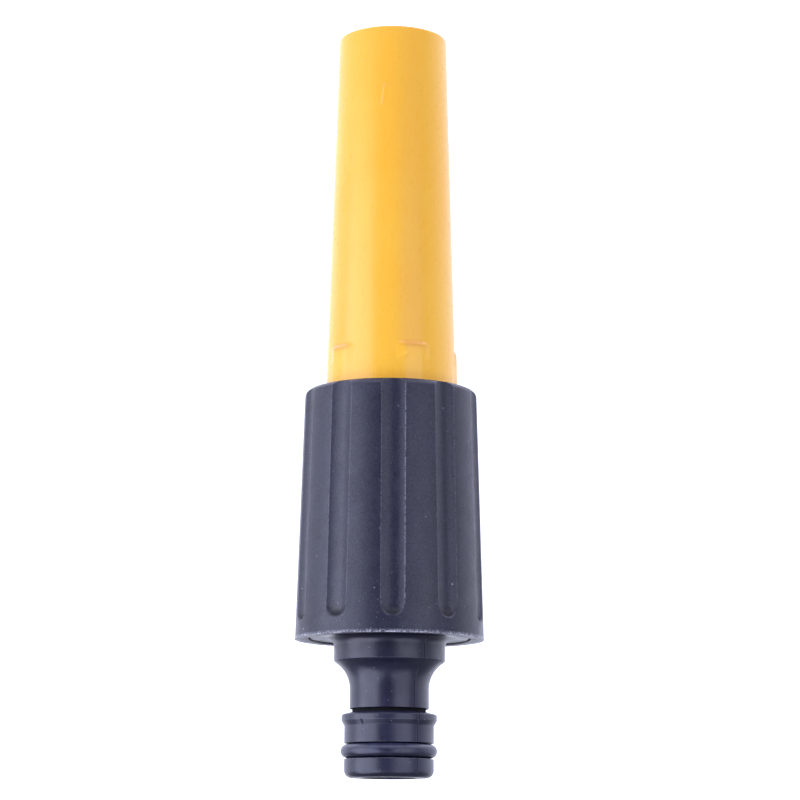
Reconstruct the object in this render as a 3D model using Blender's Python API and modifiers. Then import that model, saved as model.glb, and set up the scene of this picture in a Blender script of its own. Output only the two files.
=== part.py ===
"""Twist-adjust hose spray nozzle, standing upright on its click-on hose tail.

Every piece is turned about the Z axis, which is the axis of the water passage. The origin is the
centre of the tail's end face. The tail, its spindle and its plug stand still. The barrel and the grip
collar screw up and down the tail's thread together, which moves the barrel's seat off the plug and
opens the water.

Run with: blender --background --python part.py
"""

import math

import bmesh
import bpy
from mathutils import Matrix, Vector

MM = 0.001
SEGMENTS = 40          # facets round a full turn
RING_SIDES = 8         # facets round an O-ring's section
ARC_STEPS = 4          # facets along a rounded edge
FLUTE_SIDES = 32       # facets round a flute's cutter

# Clearances
FIT_GAP = 0.25 * MM        # between pieces that seat on each other
SEAL_GAP = 0.15 * MM       # between an O-ring and its groove
RUNNING_GAP = 0.35 * MM    # between pieces that turn past each other

# Click-on hose tail, from its end face upwards
NOSE_RADIUS = 7.5 * MM
NOSE_ROUNDING = 1.8 * MM
NOSE_LENGTH = 3.15 * MM
WATERWAY_RADIUS = 4.3 * MM
MOUTH_CHAMFER = 0.6 * MM
TAIL_RING_SECTION = 2.3 * MM
TAIL_RING_PROUD = 0.6 * MM
BAND_LENGTH = 2.9 * MM
RIDGE_RADIUS = 8.0 * MM
RIDGE_RAMP = 0.85 * MM
RIDGE_LENGTH = 1.0 * MM
RIDGE_BACK = 0.9 * MM
NECK_RADIUS = 6.65 * MM
NECK_LENGTH = 3.45 * MM
FLARE_RADIUS = 5.2 * MM
SHOULDER_RADIUS = 9.35 * MM
SHOULDER_EDGE = 0.25 * MM
SHOULDER_LENGTH = 2.35 * MM
FLANGE_FILLET = 1.45 * MM

# Screw thread between the tail's spigot and the barrel
THREAD_LEAD = 8.0 * MM
THREAD_STARTS = 2
THREAD_HEIGHT = 1.15 * MM
THREAD_ROOT_GAP = 0.4 * MM
THREAD_FLANK = math.tan(math.radians(15))
THREAD_SHARE = 0.475       # of the pitch, taken by the spigot's ridge at its root
THREAD_SINK = 0.5 * MM     # how far a ridge is rooted in its wall
TRAVEL = 7.0 * MM          # closed to fully open

# Spindle and the walls round it, from the axis outwards
STEM_BORE_RADIUS = 4.4 * MM
STEM_WALL = 2.0 * MM
STEM_RING_SECTION = 1.1 * MM
STEM_RING_HEIGHT = 4.5 * MM    # above the spindle's foot
SPIGOT_WALL = 1.85 * MM
BARREL_ROOT_WALL = 1.45 * MM
SKIRT_WALL = 1.05 * MM
SKIRT_BEAD = 0.7 * MM
COLLAR_WALL = 2.2 * MM

# Tail above its shoulder
FLANGE_LIP = 1.6 * MM
FLOOR_THICKNESS = 2.0 * MM
SOCKET_STEP = 3.0 * MM         # floor to the ledge under the spindle
SPIGOT_LENGTH = 25.0 * MM
SPIGOT_THREAD_FOOT = 2.45 * MM   # floor to the first ridge's middle
STEM_FLANGE = 1.5 * MM

# Stop ring
STOP_RING_HEIGHT = 1.2 * MM
STOP_RING_BITE = 0.45 * MM     # how far it sits in the collar's groove
STOP_RING_MOUTH = 24           # degrees of gap in the split ring
BEAD_HEIGHT = 1.2 * MM

# Grip collar
RIM_OVERHANG = 0.25 * MM
COLLAR_LENGTH = 42.5 * MM
COLLAR_DRAFT = math.tan(math.radians(1.7))
COLLAR_TOP_ROUNDING = 1.4 * MM
COLLAR_TOP_WALL = 2.5 * MM
COLLAR_KEY_LENGTH = 15.4 * MM
COLLAR_KEY_WIDTH = 5.0 * MM
COLLAR_STEP = 0.85 * MM
FLUTES = 10
FLUTE_PHASE = 2.0              # degrees from the front, which is -Y, towards +X
FLUTE_HALF_WIDTH = 2.0 * MM
FLUTE_DEPTH = 0.6 * MM
FLUTE_END = 2.65 * MM          # rim to the flutes' round ends

# Barrel
BARREL_REACH = 62.8 * MM       # how far it stands out of the collar
BARREL_TAPER = math.tan(math.radians(1.64))
BARREL_WALL = 2.4 * MM
BARREL_SEAT_STEP = 0.27 * MM   # cone's foot beyond the threaded root's radius
SEAT_FLANGE_RADIUS_STEP = 1.1 * MM
SEAT_FLANGE_HEIGHT = 1.6 * MM
TIP_ROUNDING = 0.9 * MM
TIP_LIP = 1.5 * MM             # flat ring round the outlet bell
BELL_DEPTH = 6.5 * MM
ORIFICE_RADIUS = 3.0 * MM
ORIFICE_LENGTH = 1.5 * MM
SEAT_SLOPE = 0.81              # seat cone's rise for each unit of radius
BARREL_THREAD_FOOT = 2.9 * MM  # barrel's foot to its first ridge's middle
BARREL_THREAD_RISE = 4.5 * MM
PADS = 5
PAD_ANGLE = 24                 # degrees round each key pad
PAD_PHASE = 20.5               # degrees, measured as the flutes' phase is
PAD_HEIGHT = 0.33 * MM
PAD_SHOWING = 7.1 * MM         # above the collar, ramp included
PAD_RAMP = 1.5 * MM

# Plug on the spindle's tip
PLUG_ROOT_LENGTH = 7.0 * MM
SHUT_OFF_SECTION = 1.6 * MM
SHUT_OFF_CENTRE = 3.1 * MM     # radius of the ring's centre line
PLUG_DISC_HEIGHT = 1.0 * MM
PLUG_DISC_EDGE = 0.4 * MM      # disc beyond the shut-off ring's radius
PLUG_NECK_RADIUS = 3.0 * MM
PLUG_SHOULDER_HEIGHT = 1.0 * MM
PLUG_SHOULDER_RADIUS = 5.6 * MM
PLUG_SHOULDER_CONE = 1.7 * MM
PLUG_CAP_HEIGHT = 0.7 * MM
PIN_RADIUS = 1.4 * MM
PIN_TIP_RADIUS = 2.1 * MM
PIN_TIP_CONE = 1.0 * MM
PIN_TIP_EDGE = 0.25 * MM
PIN_STANDS_BACK = 3.0 * MM     # pin's end below the barrel's tip
STEM_TOP_BACK = 5.0 * MM       # spindle's top below the plug's disc
PORT_WIDTH = 4.6 * MM
PORT_LENGTH = 8.0 * MM

# Radii, from the axis outwards
STEM_RADIUS = STEM_BORE_RADIUS + STEM_WALL
SOCKET_RADIUS = STEM_RADIUS + FIT_GAP
SPIGOT_RADIUS = SOCKET_RADIUS + SPIGOT_WALL
SPIGOT_CREST = SPIGOT_RADIUS + THREAD_HEIGHT
SEAL_BORE = SPIGOT_RADIUS + THREAD_ROOT_GAP
BARREL_CREST = SEAL_BORE + 0.05 * MM
THREAD_BORE = SPIGOT_CREST + THREAD_ROOT_GAP - 0.1 * MM
BARREL_ROOT_RADIUS = THREAD_BORE + BARREL_ROOT_WALL
SKIRT_BORE = BARREL_ROOT_RADIUS + RUNNING_GAP
SKIRT_RADIUS = SKIRT_BORE + SKIRT_WALL
BEAD_RADIUS = SKIRT_RADIUS + SKIRT_BEAD
COLLAR_BORE = BEAD_RADIUS + FIT_GAP
FLANGE_RADIUS = COLLAR_BORE - RUNNING_GAP
RIM_RADIUS = COLLAR_BORE + COLLAR_WALL
COLLAR_UPPER_BORE = COLLAR_BORE - COLLAR_STEP
SEAL_SECTION = SEAL_BORE - STEM_RADIUS - FIT_GAP

# Heights of the tail, from its end face upwards
GROOVE_FOOT = NOSE_LENGTH
GROOVE_TOP = GROOVE_FOOT + TAIL_RING_SECTION + 2 * SEAL_GAP
RIDGE_FOOT = GROOVE_TOP + BAND_LENGTH
RIDGE_CREST_FOOT = RIDGE_FOOT + RIDGE_RAMP
RIDGE_CREST_TOP = RIDGE_CREST_FOOT + RIDGE_LENGTH
NECK_FOOT = RIDGE_CREST_TOP + RIDGE_BACK
NECK_TOP = NECK_FOOT + NECK_LENGTH
FLARE_OUT = SHOULDER_RADIUS - SHOULDER_EDGE - NECK_RADIUS
FLARE_ANGLE = math.acos(1 - FLARE_OUT / FLARE_RADIUS)
SHOULDER_FOOT = NECK_TOP + FLARE_RADIUS * math.sin(FLARE_ANGLE) + SHOULDER_EDGE
SHOULDER_TOP = SHOULDER_FOOT + SHOULDER_LENGTH
FLANGE_FOOT = SHOULDER_TOP + FLANGE_FILLET
FLANGE_TOP = FLANGE_FOOT + FLANGE_LIP
FLOOR_TOP = FLANGE_FOOT + FLOOR_THICKNESS
SOCKET_FOOT = FLOOR_TOP + SOCKET_STEP
SPIGOT_TOP = FLOOR_TOP + SPIGOT_LENGTH
SPIGOT_THREAD_START = FLOOR_TOP + SPIGOT_THREAD_FOOT

# Heights of the stop ring and the bead that it meets when the barrel is fully open
STOP_RING_FOOT = FLANGE_TOP + RUNNING_GAP
STOP_RING_TOP = STOP_RING_FOOT + STOP_RING_HEIGHT
BEAD_FOOT = STOP_RING_TOP + TRAVEL + FIT_GAP
SKIRT_TOP = BEAD_FOOT + BEAD_HEIGHT

# Heights of the collar
RIM_FOOT = FLANGE_FOOT - RIM_OVERHANG
COLLAR_TOP = RIM_FOOT + COLLAR_LENGTH
KEY_TOP = COLLAR_TOP - COLLAR_TOP_WALL
KEY_FOOT = KEY_TOP - COLLAR_KEY_LENGTH

# Heights of the barrel, with the nozzle closed
BARREL_FOOT = FLOOR_TOP + 0.45 * MM
BARREL_THREAD_START = BARREL_FOOT + BARREL_THREAD_FOOT
THREAD_BORE_TOP = SPIGOT_TOP - TRAVEL - THREAD_HEIGHT - 2 * FIT_GAP
SPIGOT_THREAD_END = THREAD_BORE_TOP - THREAD_LEAD / THREAD_STARTS * THREAD_SHARE / 2 - RUNNING_GAP
SEAT_FLANGE_TOP = KEY_FOOT - FIT_GAP
SEAT_FLANGE_FOOT = SEAT_FLANGE_TOP - SEAT_FLANGE_HEIGHT
BARREL_TIP = COLLAR_TOP + BARREL_REACH
ORIFICE_TOP = BARREL_TIP - BELL_DEPTH
ORIFICE_FOOT = ORIFICE_TOP - ORIFICE_LENGTH

# Heights of the spindle and its plug
SEAL_TOP = SPIGOT_TOP + SEAL_SECTION + 2 * SEAL_GAP
SEAL_BORE_TOP = SEAL_TOP + 3.0 * MM
STEM_FLANGE_TOP = SEAL_TOP + STEM_FLANGE
STEM_FOOT = SOCKET_FOOT + FIT_GAP
STEM_RING_FOOT = STEM_FOOT + STEM_RING_HEIGHT
SHUT_OFF_RADIUS = SHUT_OFF_SECTION / 2
SHUT_OFF_REACH = (SHUT_OFF_RADIUS + FIT_GAP) * math.sqrt(1 + SEAT_SLOPE**2)
SHUT_OFF_HEIGHT = ORIFICE_FOOT - SEAT_SLOPE * (SHUT_OFF_CENTRE - ORIFICE_RADIUS) - SHUT_OFF_REACH
PLUG_DISC_TOP = SHUT_OFF_HEIGHT - SHUT_OFF_RADIUS - SEAL_GAP
PLUG_DISC_FOOT = PLUG_DISC_TOP - PLUG_DISC_HEIGHT
PLUG_CAP_FOOT = SHUT_OFF_HEIGHT + SHUT_OFF_RADIUS + SEAL_GAP
STEM_TOP = PLUG_DISC_FOOT - STEM_TOP_BACK
PLUG_ROOT_FOOT = STEM_TOP - PLUG_ROOT_LENGTH
PORT_TOP = PLUG_ROOT_FOOT - 1.0 * MM


# ---------------------------------------------------------------- helpers


def new_collection(name, hidden=False):
    """A collection in the scene. A hidden one holds cutters and other helpers."""
    collection = bpy.data.collections.new(name)
    bpy.context.scene.collection.children.link(collection)
    collection.hide_render = hidden
    return collection


def material(name, colour, roughness, metallic=0.0):
    """A plain Principled material."""
    made = bpy.data.materials.new(name)
    made.use_nodes = True
    shader = made.node_tree.nodes["Principled BSDF"]
    shader.inputs["Base Color"].default_value = (*colour, 1.0)
    shader.inputs["Roughness"].default_value = roughness
    shader.inputs["Metallic"].default_value = metallic
    return made


def add_object(name, bm, collection, finish=None):
    """Links a new mesh object made from bm, which is freed."""
    mesh = bpy.data.meshes.new(name)
    bm.to_mesh(mesh)
    bm.free()
    obj = bpy.data.objects.new(name, mesh)
    collection.objects.link(obj)
    if finish is not None:
        mesh.materials.append(finish)
    return obj


def arc(centre_r, centre_z, radius, start, end, steps=ARC_STEPS):
    """Points (radius, height) on an arc, its angles in degrees from the outward direction."""
    points = []
    for i in range(steps + 1):
        angle = math.radians(start + (end - start) * i / steps)
        points.append((centre_r + radius * math.cos(angle), centre_z + radius * math.sin(angle)))
    return points


def turned(name, profile, collection, finish=None, closed=True, segments=SEGMENTS):
    """A piece turned about Z from (radius, height) points that run down its outer side."""
    bm = bmesh.new()
    verts = [bm.verts.new((r, 0, z)) for r, z in profile]
    for a, b in zip(verts, verts[1:]):
        bm.edges.new((a, b))
    if closed:
        bm.edges.new((verts[-1], verts[0]))
    obj = add_object(name, bm, collection, finish)
    screw = obj.modifiers.new("Turn", "SCREW")
    screw.axis = "Z"
    screw.steps = screw.render_steps = segments
    screw.use_merge_vertices = True
    screw.merge_threshold = 0.00001
    return obj


def swept(name, section, start, sweep, rise, collection, finish=None):
    """A flat (radius, height) section swept about Z from start through sweep degrees, climbing by rise."""
    steps = max(2, math.ceil(SEGMENTS * sweep / 360))
    bm = bmesh.new()
    face = bm.faces.new([bm.verts.new((r, 0, z)) for r, z in section])
    turn = Matrix.Rotation(math.radians(start), 3, "Z")
    bmesh.ops.rotate(bm, verts=bm.verts, cent=(0, 0, 0), matrix=turn)
    bmesh.ops.spin(
        bm,
        geom=[face, *face.edges, *face.verts],
        cent=(0, 0, 0),
        axis=(0, 0, 1),
        dvec=(0, 0, rise / steps),
        angle=math.radians(sweep),
        steps=steps,
    )
    bmesh.ops.recalc_face_normals(bm, faces=bm.faces)
    return add_object(name, bm, collection, finish)


def box(name, size, centre, turn, collection):
    """A box of that size whose middle is at centre before it is turned about Z by turn degrees."""
    bm = bmesh.new()
    bmesh.ops.create_cube(bm, size=1.0)
    bmesh.ops.scale(bm, verts=bm.verts, vec=size)
    bmesh.ops.translate(bm, verts=bm.verts, vec=centre)
    obj = add_object(name, bm, collection)
    obj.rotation_euler.z = math.radians(turn)
    return obj


def combine(obj, helpers, operation):
    """Cuts the helpers from obj, or joins them to it."""
    boolean = obj.modifiers.new(helpers.name, "BOOLEAN")
    boolean.operation = operation
    boolean.operand_type = "COLLECTION"
    boolean.collection = helpers
    boolean.solver = "EXACT"
    for helper in helpers.objects:
        helper.hide_render = True
        helper.display_type = "WIRE"


def front_angle(degrees):
    """An angle about Z from +X, for one measured from the front towards +X."""
    return degrees - 90


def o_ring(name, centre_radius, height, section, collection, finish):
    """An O-ring, turned from its round section."""
    circle = arc(centre_radius, height, section / 2, 90, -270, RING_SIDES)[:-1]
    return turned(name, circle, collection, finish)


# ---------------------------------------------------------------- pieces


def spigot_ridge(offset=0.0):
    """Section of the spigot's thread ridge, its middle at the thread's start."""
    half = THREAD_LEAD / THREAD_STARTS * THREAD_SHARE / 2
    lost = THREAD_FLANK * THREAD_HEIGHT
    middle = SPIGOT_THREAD_START + offset
    return [
        (SPIGOT_RADIUS - THREAD_SINK, middle + half),
        (SPIGOT_RADIUS, middle + half),
        (SPIGOT_CREST, middle + half - lost),
        (SPIGOT_CREST, middle - half + lost),
        (SPIGOT_RADIUS, middle - half),
        (SPIGOT_RADIUS - THREAD_SINK, middle - half),
    ]


def make_tail(collection, finish):
    """Hose tail: click-on end, flange, skirt and threaded spigot in one moulding."""
    chamfer = min(MOUTH_CHAMFER, (NOSE_RADIUS - NOSE_ROUNDING - WATERWAY_RADIUS) / 2)
    groove_radius = NOSE_RADIUS + TAIL_RING_PROUD - TAIL_RING_SECTION - SEAL_GAP
    flare = arc(NECK_RADIUS + FLARE_RADIUS, NECK_TOP, FLARE_RADIUS, 180 - math.degrees(FLARE_ANGLE), 180)
    root = arc(SHOULDER_RADIUS + FLANGE_FILLET, SHOULDER_TOP, FLANGE_FILLET, 90, 180)
    nose = arc(NOSE_RADIUS - NOSE_ROUNDING, NOSE_ROUNDING, NOSE_ROUNDING, 0, -90)
    profile = [
        (SOCKET_RADIUS, SPIGOT_TOP),
        (SPIGOT_RADIUS, SPIGOT_TOP),
        (SPIGOT_RADIUS, FLOOR_TOP),
        (SKIRT_BORE, FLOOR_TOP),
        (SKIRT_BORE, SKIRT_TOP),
        (SKIRT_RADIUS, SKIRT_TOP),
        (BEAD_RADIUS, SKIRT_TOP - SKIRT_BEAD),
        (BEAD_RADIUS, BEAD_FOOT),
        (SKIRT_RADIUS, BEAD_FOOT),
        (SKIRT_RADIUS, FLANGE_TOP),
        (FLANGE_RADIUS, FLANGE_TOP),
        (FLANGE_RADIUS, FLANGE_FOOT),
        *root,
        (SHOULDER_RADIUS, SHOULDER_FOOT),
        *flare,
        (NECK_RADIUS, NECK_FOOT),
        (RIDGE_RADIUS, RIDGE_CREST_TOP),
        (RIDGE_RADIUS, RIDGE_CREST_FOOT),
        (NOSE_RADIUS, RIDGE_FOOT),
        (NOSE_RADIUS, GROOVE_TOP),
        (groove_radius, GROOVE_TOP),
        (groove_radius, GROOVE_FOOT),
        (NOSE_RADIUS, GROOVE_FOOT),
        *nose,
        (WATERWAY_RADIUS + chamfer, 0),
        (WATERWAY_RADIUS, chamfer),
        (WATERWAY_RADIUS, SOCKET_FOOT),
        (SOCKET_RADIUS, SOCKET_FOOT),
    ]
    tail = turned("hose_tail", profile, collection, finish)
    ridges = new_collection("Spigot thread", hidden=True)
    rise = SPIGOT_THREAD_END - SPIGOT_THREAD_START
    for start in range(THREAD_STARTS):
        swept(
            f"spigot_ridge_{start}",
            spigot_ridge(),
            360 * start / THREAD_STARTS,
            360 * rise / THREAD_LEAD,
            rise,
            ridges,
        )
    combine(tail, ridges, "UNION")
    return tail


def make_tail_ring(collection, finish):
    """The O-ring that seals the tail in a hose connector."""
    centre = NOSE_RADIUS + TAIL_RING_PROUD - TAIL_RING_SECTION / 2
    height = (GROOVE_FOOT + GROOVE_TOP) / 2
    return o_ring("tail_o_ring", centre, height, TAIL_RING_SECTION, collection, finish)


def make_stem(collection, finish):
    """Spindle: a tube with a flange above the seal and four ports below its plug."""
    groove_radius = SOCKET_RADIUS - 2 * SEAL_GAP - STEM_RING_SECTION
    groove_top = STEM_RING_FOOT + STEM_RING_SECTION + 2 * SEAL_GAP
    profile = [
        (STEM_BORE_RADIUS, STEM_TOP),
        (STEM_RADIUS, STEM_TOP),
        (STEM_RADIUS, STEM_FLANGE_TOP),
        (SPIGOT_RADIUS, STEM_FLANGE_TOP),
        (SPIGOT_RADIUS, SEAL_TOP),
        (STEM_RADIUS, SEAL_TOP),
        (STEM_RADIUS, groove_top),
        (groove_radius, groove_top),
        (groove_radius, STEM_RING_FOOT),
        (STEM_RADIUS, STEM_RING_FOOT),
        (STEM_RADIUS, STEM_FOOT),
        (STEM_BORE_RADIUS, STEM_FOOT),
    ]
    stem = turned("valve_stem", profile, collection, finish)
    ports = new_collection("Stem ports", hidden=True)
    size = (4 * STEM_RADIUS, PORT_WIDTH, PORT_LENGTH)
    for turn in (0, 90):
        box(f"port_cutter_{turn}", size, (0, 0, PORT_TOP - PORT_LENGTH / 2), turn, ports)
    combine(stem, ports, "DIFFERENCE")
    return stem


def make_stem_ring(collection, finish):
    """The O-ring between the spindle and its socket in the tail."""
    centre = SOCKET_RADIUS - SEAL_GAP - STEM_RING_SECTION / 2
    height = STEM_RING_FOOT + SEAL_GAP + STEM_RING_SECTION / 2
    return o_ring("stem_o_ring", centre, height, STEM_RING_SECTION, collection, finish)


def make_barrel_seal(collection, finish):
    """The O-ring that the barrel's bore slides on."""
    centre = STEM_RADIUS + FIT_GAP / 2 + SEAL_SECTION / 2
    return o_ring("barrel_seal", centre, (SPIGOT_TOP + SEAL_TOP) / 2, SEAL_SECTION, collection, finish)


def make_plug(collection, finish):
    """Plug and jet pin, pressed in the spindle's tip."""
    pin_top = BARREL_TIP - PIN_STANDS_BACK
    core = SHUT_OFF_CENTRE - SHUT_OFF_RADIUS - SEAL_GAP
    cap = core + 3 * SEAL_GAP
    disc = SHUT_OFF_CENTRE + SHUT_OFF_RADIUS + PLUG_DISC_EDGE
    shoulder_foot = STEM_TOP + FIT_GAP
    shoulder_top = shoulder_foot + PLUG_SHOULDER_HEIGHT
    root = STEM_BORE_RADIUS - FIT_GAP
    profile = [
        (0, pin_top),
        (PIN_TIP_RADIUS, pin_top),
        (PIN_TIP_RADIUS, pin_top - PIN_TIP_EDGE),
        (PIN_RADIUS, pin_top - PIN_TIP_EDGE - PIN_TIP_CONE),
        (PIN_RADIUS, PLUG_CAP_FOOT + PLUG_CAP_HEIGHT),
        (cap, PLUG_CAP_FOOT + PLUG_CAP_HEIGHT),
        (cap, PLUG_CAP_FOOT),
        (core, PLUG_CAP_FOOT),
        (core, PLUG_DISC_TOP),
        (disc, PLUG_DISC_TOP),
        (disc, PLUG_DISC_FOOT),
        (PLUG_NECK_RADIUS, PLUG_DISC_FOOT),
        (PLUG_NECK_RADIUS, shoulder_top + PLUG_SHOULDER_CONE),
        (PLUG_SHOULDER_RADIUS, shoulder_top),
        (PLUG_SHOULDER_RADIUS, shoulder_foot),
        (root, shoulder_foot),
        (root, PLUG_ROOT_FOOT),
        (0, PLUG_ROOT_FOOT),
    ]
    return turned("spray_plug", profile, collection, finish, closed=False)


def make_shut_off_ring(collection, finish):
    """The O-ring that closes against the barrel's seat."""
    return o_ring("shut_off_ring", SHUT_OFF_CENTRE, SHUT_OFF_HEIGHT, SHUT_OFF_SECTION, collection, finish)


def barrel_radius(height):
    """Outer radius of the barrel's cone."""
    return BARREL_ROOT_RADIUS + BARREL_SEAT_STEP - (height - SEAT_FLANGE_TOP) * BARREL_TAPER


def barrel_ridge():
    """Section of the barrel's thread ridge, its middle at the thread's start."""
    pitch = THREAD_LEAD / THREAD_STARTS
    spigot_width = pitch * THREAD_SHARE - 2 * THREAD_FLANK * (BARREL_CREST - SPIGOT_RADIUS)
    half = (pitch - spigot_width) / 2 - RUNNING_GAP
    gained = THREAD_FLANK * (THREAD_BORE - BARREL_CREST)
    middle = BARREL_THREAD_START
    return [
        (BARREL_CREST, middle + half),
        (THREAD_BORE, middle + half + gained),
        (THREAD_BORE + THREAD_SINK, middle + half + gained),
        (THREAD_BORE + THREAD_SINK, middle - half - gained),
        (THREAD_BORE, middle - half - gained),
        (BARREL_CREST, middle - half),
    ]


def pad_section():
    """Section of a key pad: it follows the barrel's cone and ramps down to it at its upper end."""
    top = COLLAR_TOP + PAD_SHOWING
    ramp_foot = top - PAD_RAMP
    foot = SEAT_FLANGE_TOP - SEAT_FLANGE_HEIGHT / 2
    sink = 3 * PAD_HEIGHT
    return [
        (barrel_radius(top) - sink, top),
        (barrel_radius(top) - PAD_HEIGHT / 4, top),
        (barrel_radius(ramp_foot) + PAD_HEIGHT, ramp_foot),
        (barrel_radius(foot) + PAD_HEIGHT, foot),
        (barrel_radius(foot) - sink, foot),
    ]


def make_barrel(collection, finish):
    """Tapered barrel with its seat, outlet bell, thread and the pads that key the collar."""
    tip_radius = barrel_radius(BARREL_TIP)
    bell_radius = tip_radius - TIP_ROUNDING - TIP_LIP
    tip = arc(tip_radius - TIP_ROUNDING, BARREL_TIP - TIP_ROUNDING, TIP_ROUNDING, 90, 0)
    bore_top_radius = barrel_radius(ORIFICE_FOOT) - BARREL_WALL
    seat_foot = ORIFICE_FOOT - SEAT_SLOPE * (bore_top_radius - ORIFICE_RADIUS)
    profile = [
        (bell_radius, BARREL_TIP),
        *tip,
        (barrel_radius(SEAT_FLANGE_TOP), SEAT_FLANGE_TOP),
        (BARREL_ROOT_RADIUS + SEAT_FLANGE_RADIUS_STEP, SEAT_FLANGE_TOP),
        (BARREL_ROOT_RADIUS + SEAT_FLANGE_RADIUS_STEP, SEAT_FLANGE_FOOT),
        (BARREL_ROOT_RADIUS, SEAT_FLANGE_FOOT - SEAT_FLANGE_RADIUS_STEP),
        (BARREL_ROOT_RADIUS, BARREL_FOOT),
        (THREAD_BORE + FIT_GAP, BARREL_FOOT),
        (THREAD_BORE, BARREL_FOOT + 2 * FIT_GAP),
        (THREAD_BORE, THREAD_BORE_TOP),
        (SEAL_BORE, THREAD_BORE_TOP + THREAD_HEIGHT),
        (SEAL_BORE, SEAL_BORE_TOP),
        (bore_top_radius, seat_foot),
        (ORIFICE_RADIUS, ORIFICE_FOOT),
        (ORIFICE_RADIUS, ORIFICE_TOP),
    ]
    barrel = turned("nozzle_barrel", profile, collection, finish)
    additions = new_collection("Barrel thread and pads", hidden=True)
    pitch = THREAD_LEAD / THREAD_STARTS
    lead_in = (BARREL_THREAD_START - SPIGOT_THREAD_START - pitch / 2) / THREAD_LEAD
    for start in range(THREAD_STARTS):
        swept(
            f"barrel_ridge_{start}",
            barrel_ridge(),
            360 * (lead_in + start / THREAD_STARTS),
            360 * BARREL_THREAD_RISE / THREAD_LEAD,
            BARREL_THREAD_RISE,
            additions,
        )
    for i in range(PADS):
        start = front_angle(PAD_PHASE + 360 * i / PADS) - PAD_ANGLE / 2
        swept(f"key_pad_{i}", pad_section(), start, PAD_ANGLE, 0, additions)
    combine(barrel, additions, "UNION")
    return barrel


def make_flute_cutters(collection):
    """Round-ended cutters, each tilted to follow the collar's draft."""
    radius = (FLUTE_HALF_WIDTH**2 + FLUTE_DEPTH**2) / (2 * FLUTE_DEPTH)
    foot = RIM_FOOT + FLUTE_END + FLUTE_HALF_WIDTH
    length = COLLAR_TOP - foot + 4 * radius
    end = arc(0, 0, radius, 0, -90, FLUTE_SIDES // 4)
    profile = [(0, length), (radius, length), *end[:-1], (0, -radius)]
    surface = RIM_RADIUS - (foot - RIM_FOOT) * COLLAR_DRAFT
    out = surface - FLUTE_DEPTH + radius
    for i in range(FLUTES):
        cutter = turned(f"flute_cutter_{i}", profile, collection, closed=False, segments=FLUTE_SIDES)
        turn = Matrix.Rotation(math.radians(front_angle(FLUTE_PHASE + 360 * i / FLUTES)), 4, "Z")
        lean = Matrix.Rotation(-math.atan(COLLAR_DRAFT), 4, "Y")
        cutter.matrix_world = turn @ Matrix.Translation(Vector((out, 0, foot))) @ lean


def make_collar(collection, finish):
    """Fluted grip collar: a shell with a groove for the stop ring and keys between the barrel's pads."""
    body_top = COLLAR_TOP - COLLAR_TOP_ROUNDING
    top_radius = RIM_RADIUS - (body_top - RIM_FOOT) * COLLAR_DRAFT
    hole = barrel_radius(KEY_TOP) + PAD_HEIGHT + FIT_GAP
    groove_radius = COLLAR_BORE + STOP_RING_BITE + FIT_GAP
    groove_foot = STOP_RING_FOOT - FIT_GAP / 2
    groove_top = STOP_RING_TOP + FIT_GAP / 2
    step_top = KEY_FOOT - FIT_GAP - SEAT_FLANGE_HEIGHT
    edge = FIT_GAP
    profile = [
        (hole, COLLAR_TOP),
        *arc(top_radius - COLLAR_TOP_ROUNDING, body_top, COLLAR_TOP_ROUNDING, 90, 0),
        (RIM_RADIUS - edge * COLLAR_DRAFT, RIM_FOOT + edge),
        (RIM_RADIUS - edge, RIM_FOOT),
        (COLLAR_BORE, RIM_FOOT),
        (COLLAR_BORE, groove_foot),
        (groove_radius, groove_foot),
        (groove_radius, groove_top),
        (COLLAR_BORE, groove_top),
        (COLLAR_BORE, step_top - 4 * COLLAR_STEP),
        (COLLAR_UPPER_BORE, step_top),
        (COLLAR_UPPER_BORE, KEY_TOP),
        (hole, KEY_TOP),
    ]
    collar = turned("grip_collar", profile, collection, finish)
    keys = new_collection("Collar keys", hidden=True)
    inner = barrel_radius(SEAT_FLANGE_TOP) + FIT_GAP
    outer = COLLAR_UPPER_BORE + COLLAR_WALL / 4
    size = (outer - inner, COLLAR_KEY_WIDTH, COLLAR_KEY_LENGTH + COLLAR_TOP_WALL / 2)
    centre = ((outer + inner) / 2, 0, KEY_FOOT + size[2] / 2)
    for i in range(PADS):
        turn = front_angle(PAD_PHASE + 360 * (i + 0.5) / PADS)
        box(f"collar_key_{i}", size, centre, turn, keys)
    combine(collar, keys, "UNION")
    flutes = new_collection("Flute cutters", hidden=True)
    make_flute_cutters(flutes)
    combine(collar, flutes, "DIFFERENCE")
    return collar


def make_stop_ring(collection, finish):
    """Split ring in the collar's groove. It meets the skirt's bead when the barrel is fully open."""
    inner = SKIRT_RADIUS + FIT_GAP
    outer = COLLAR_BORE + STOP_RING_BITE
    section = [
        (inner, STOP_RING_TOP),
        (outer, STOP_RING_TOP),
        (outer, STOP_RING_FOOT),
        (inner, STOP_RING_FOOT),
    ]
    sweep = 360 - STOP_RING_MOUTH
    return swept("stop_ring", section, STOP_RING_MOUTH / 2, sweep, 0, collection, finish)


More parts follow.
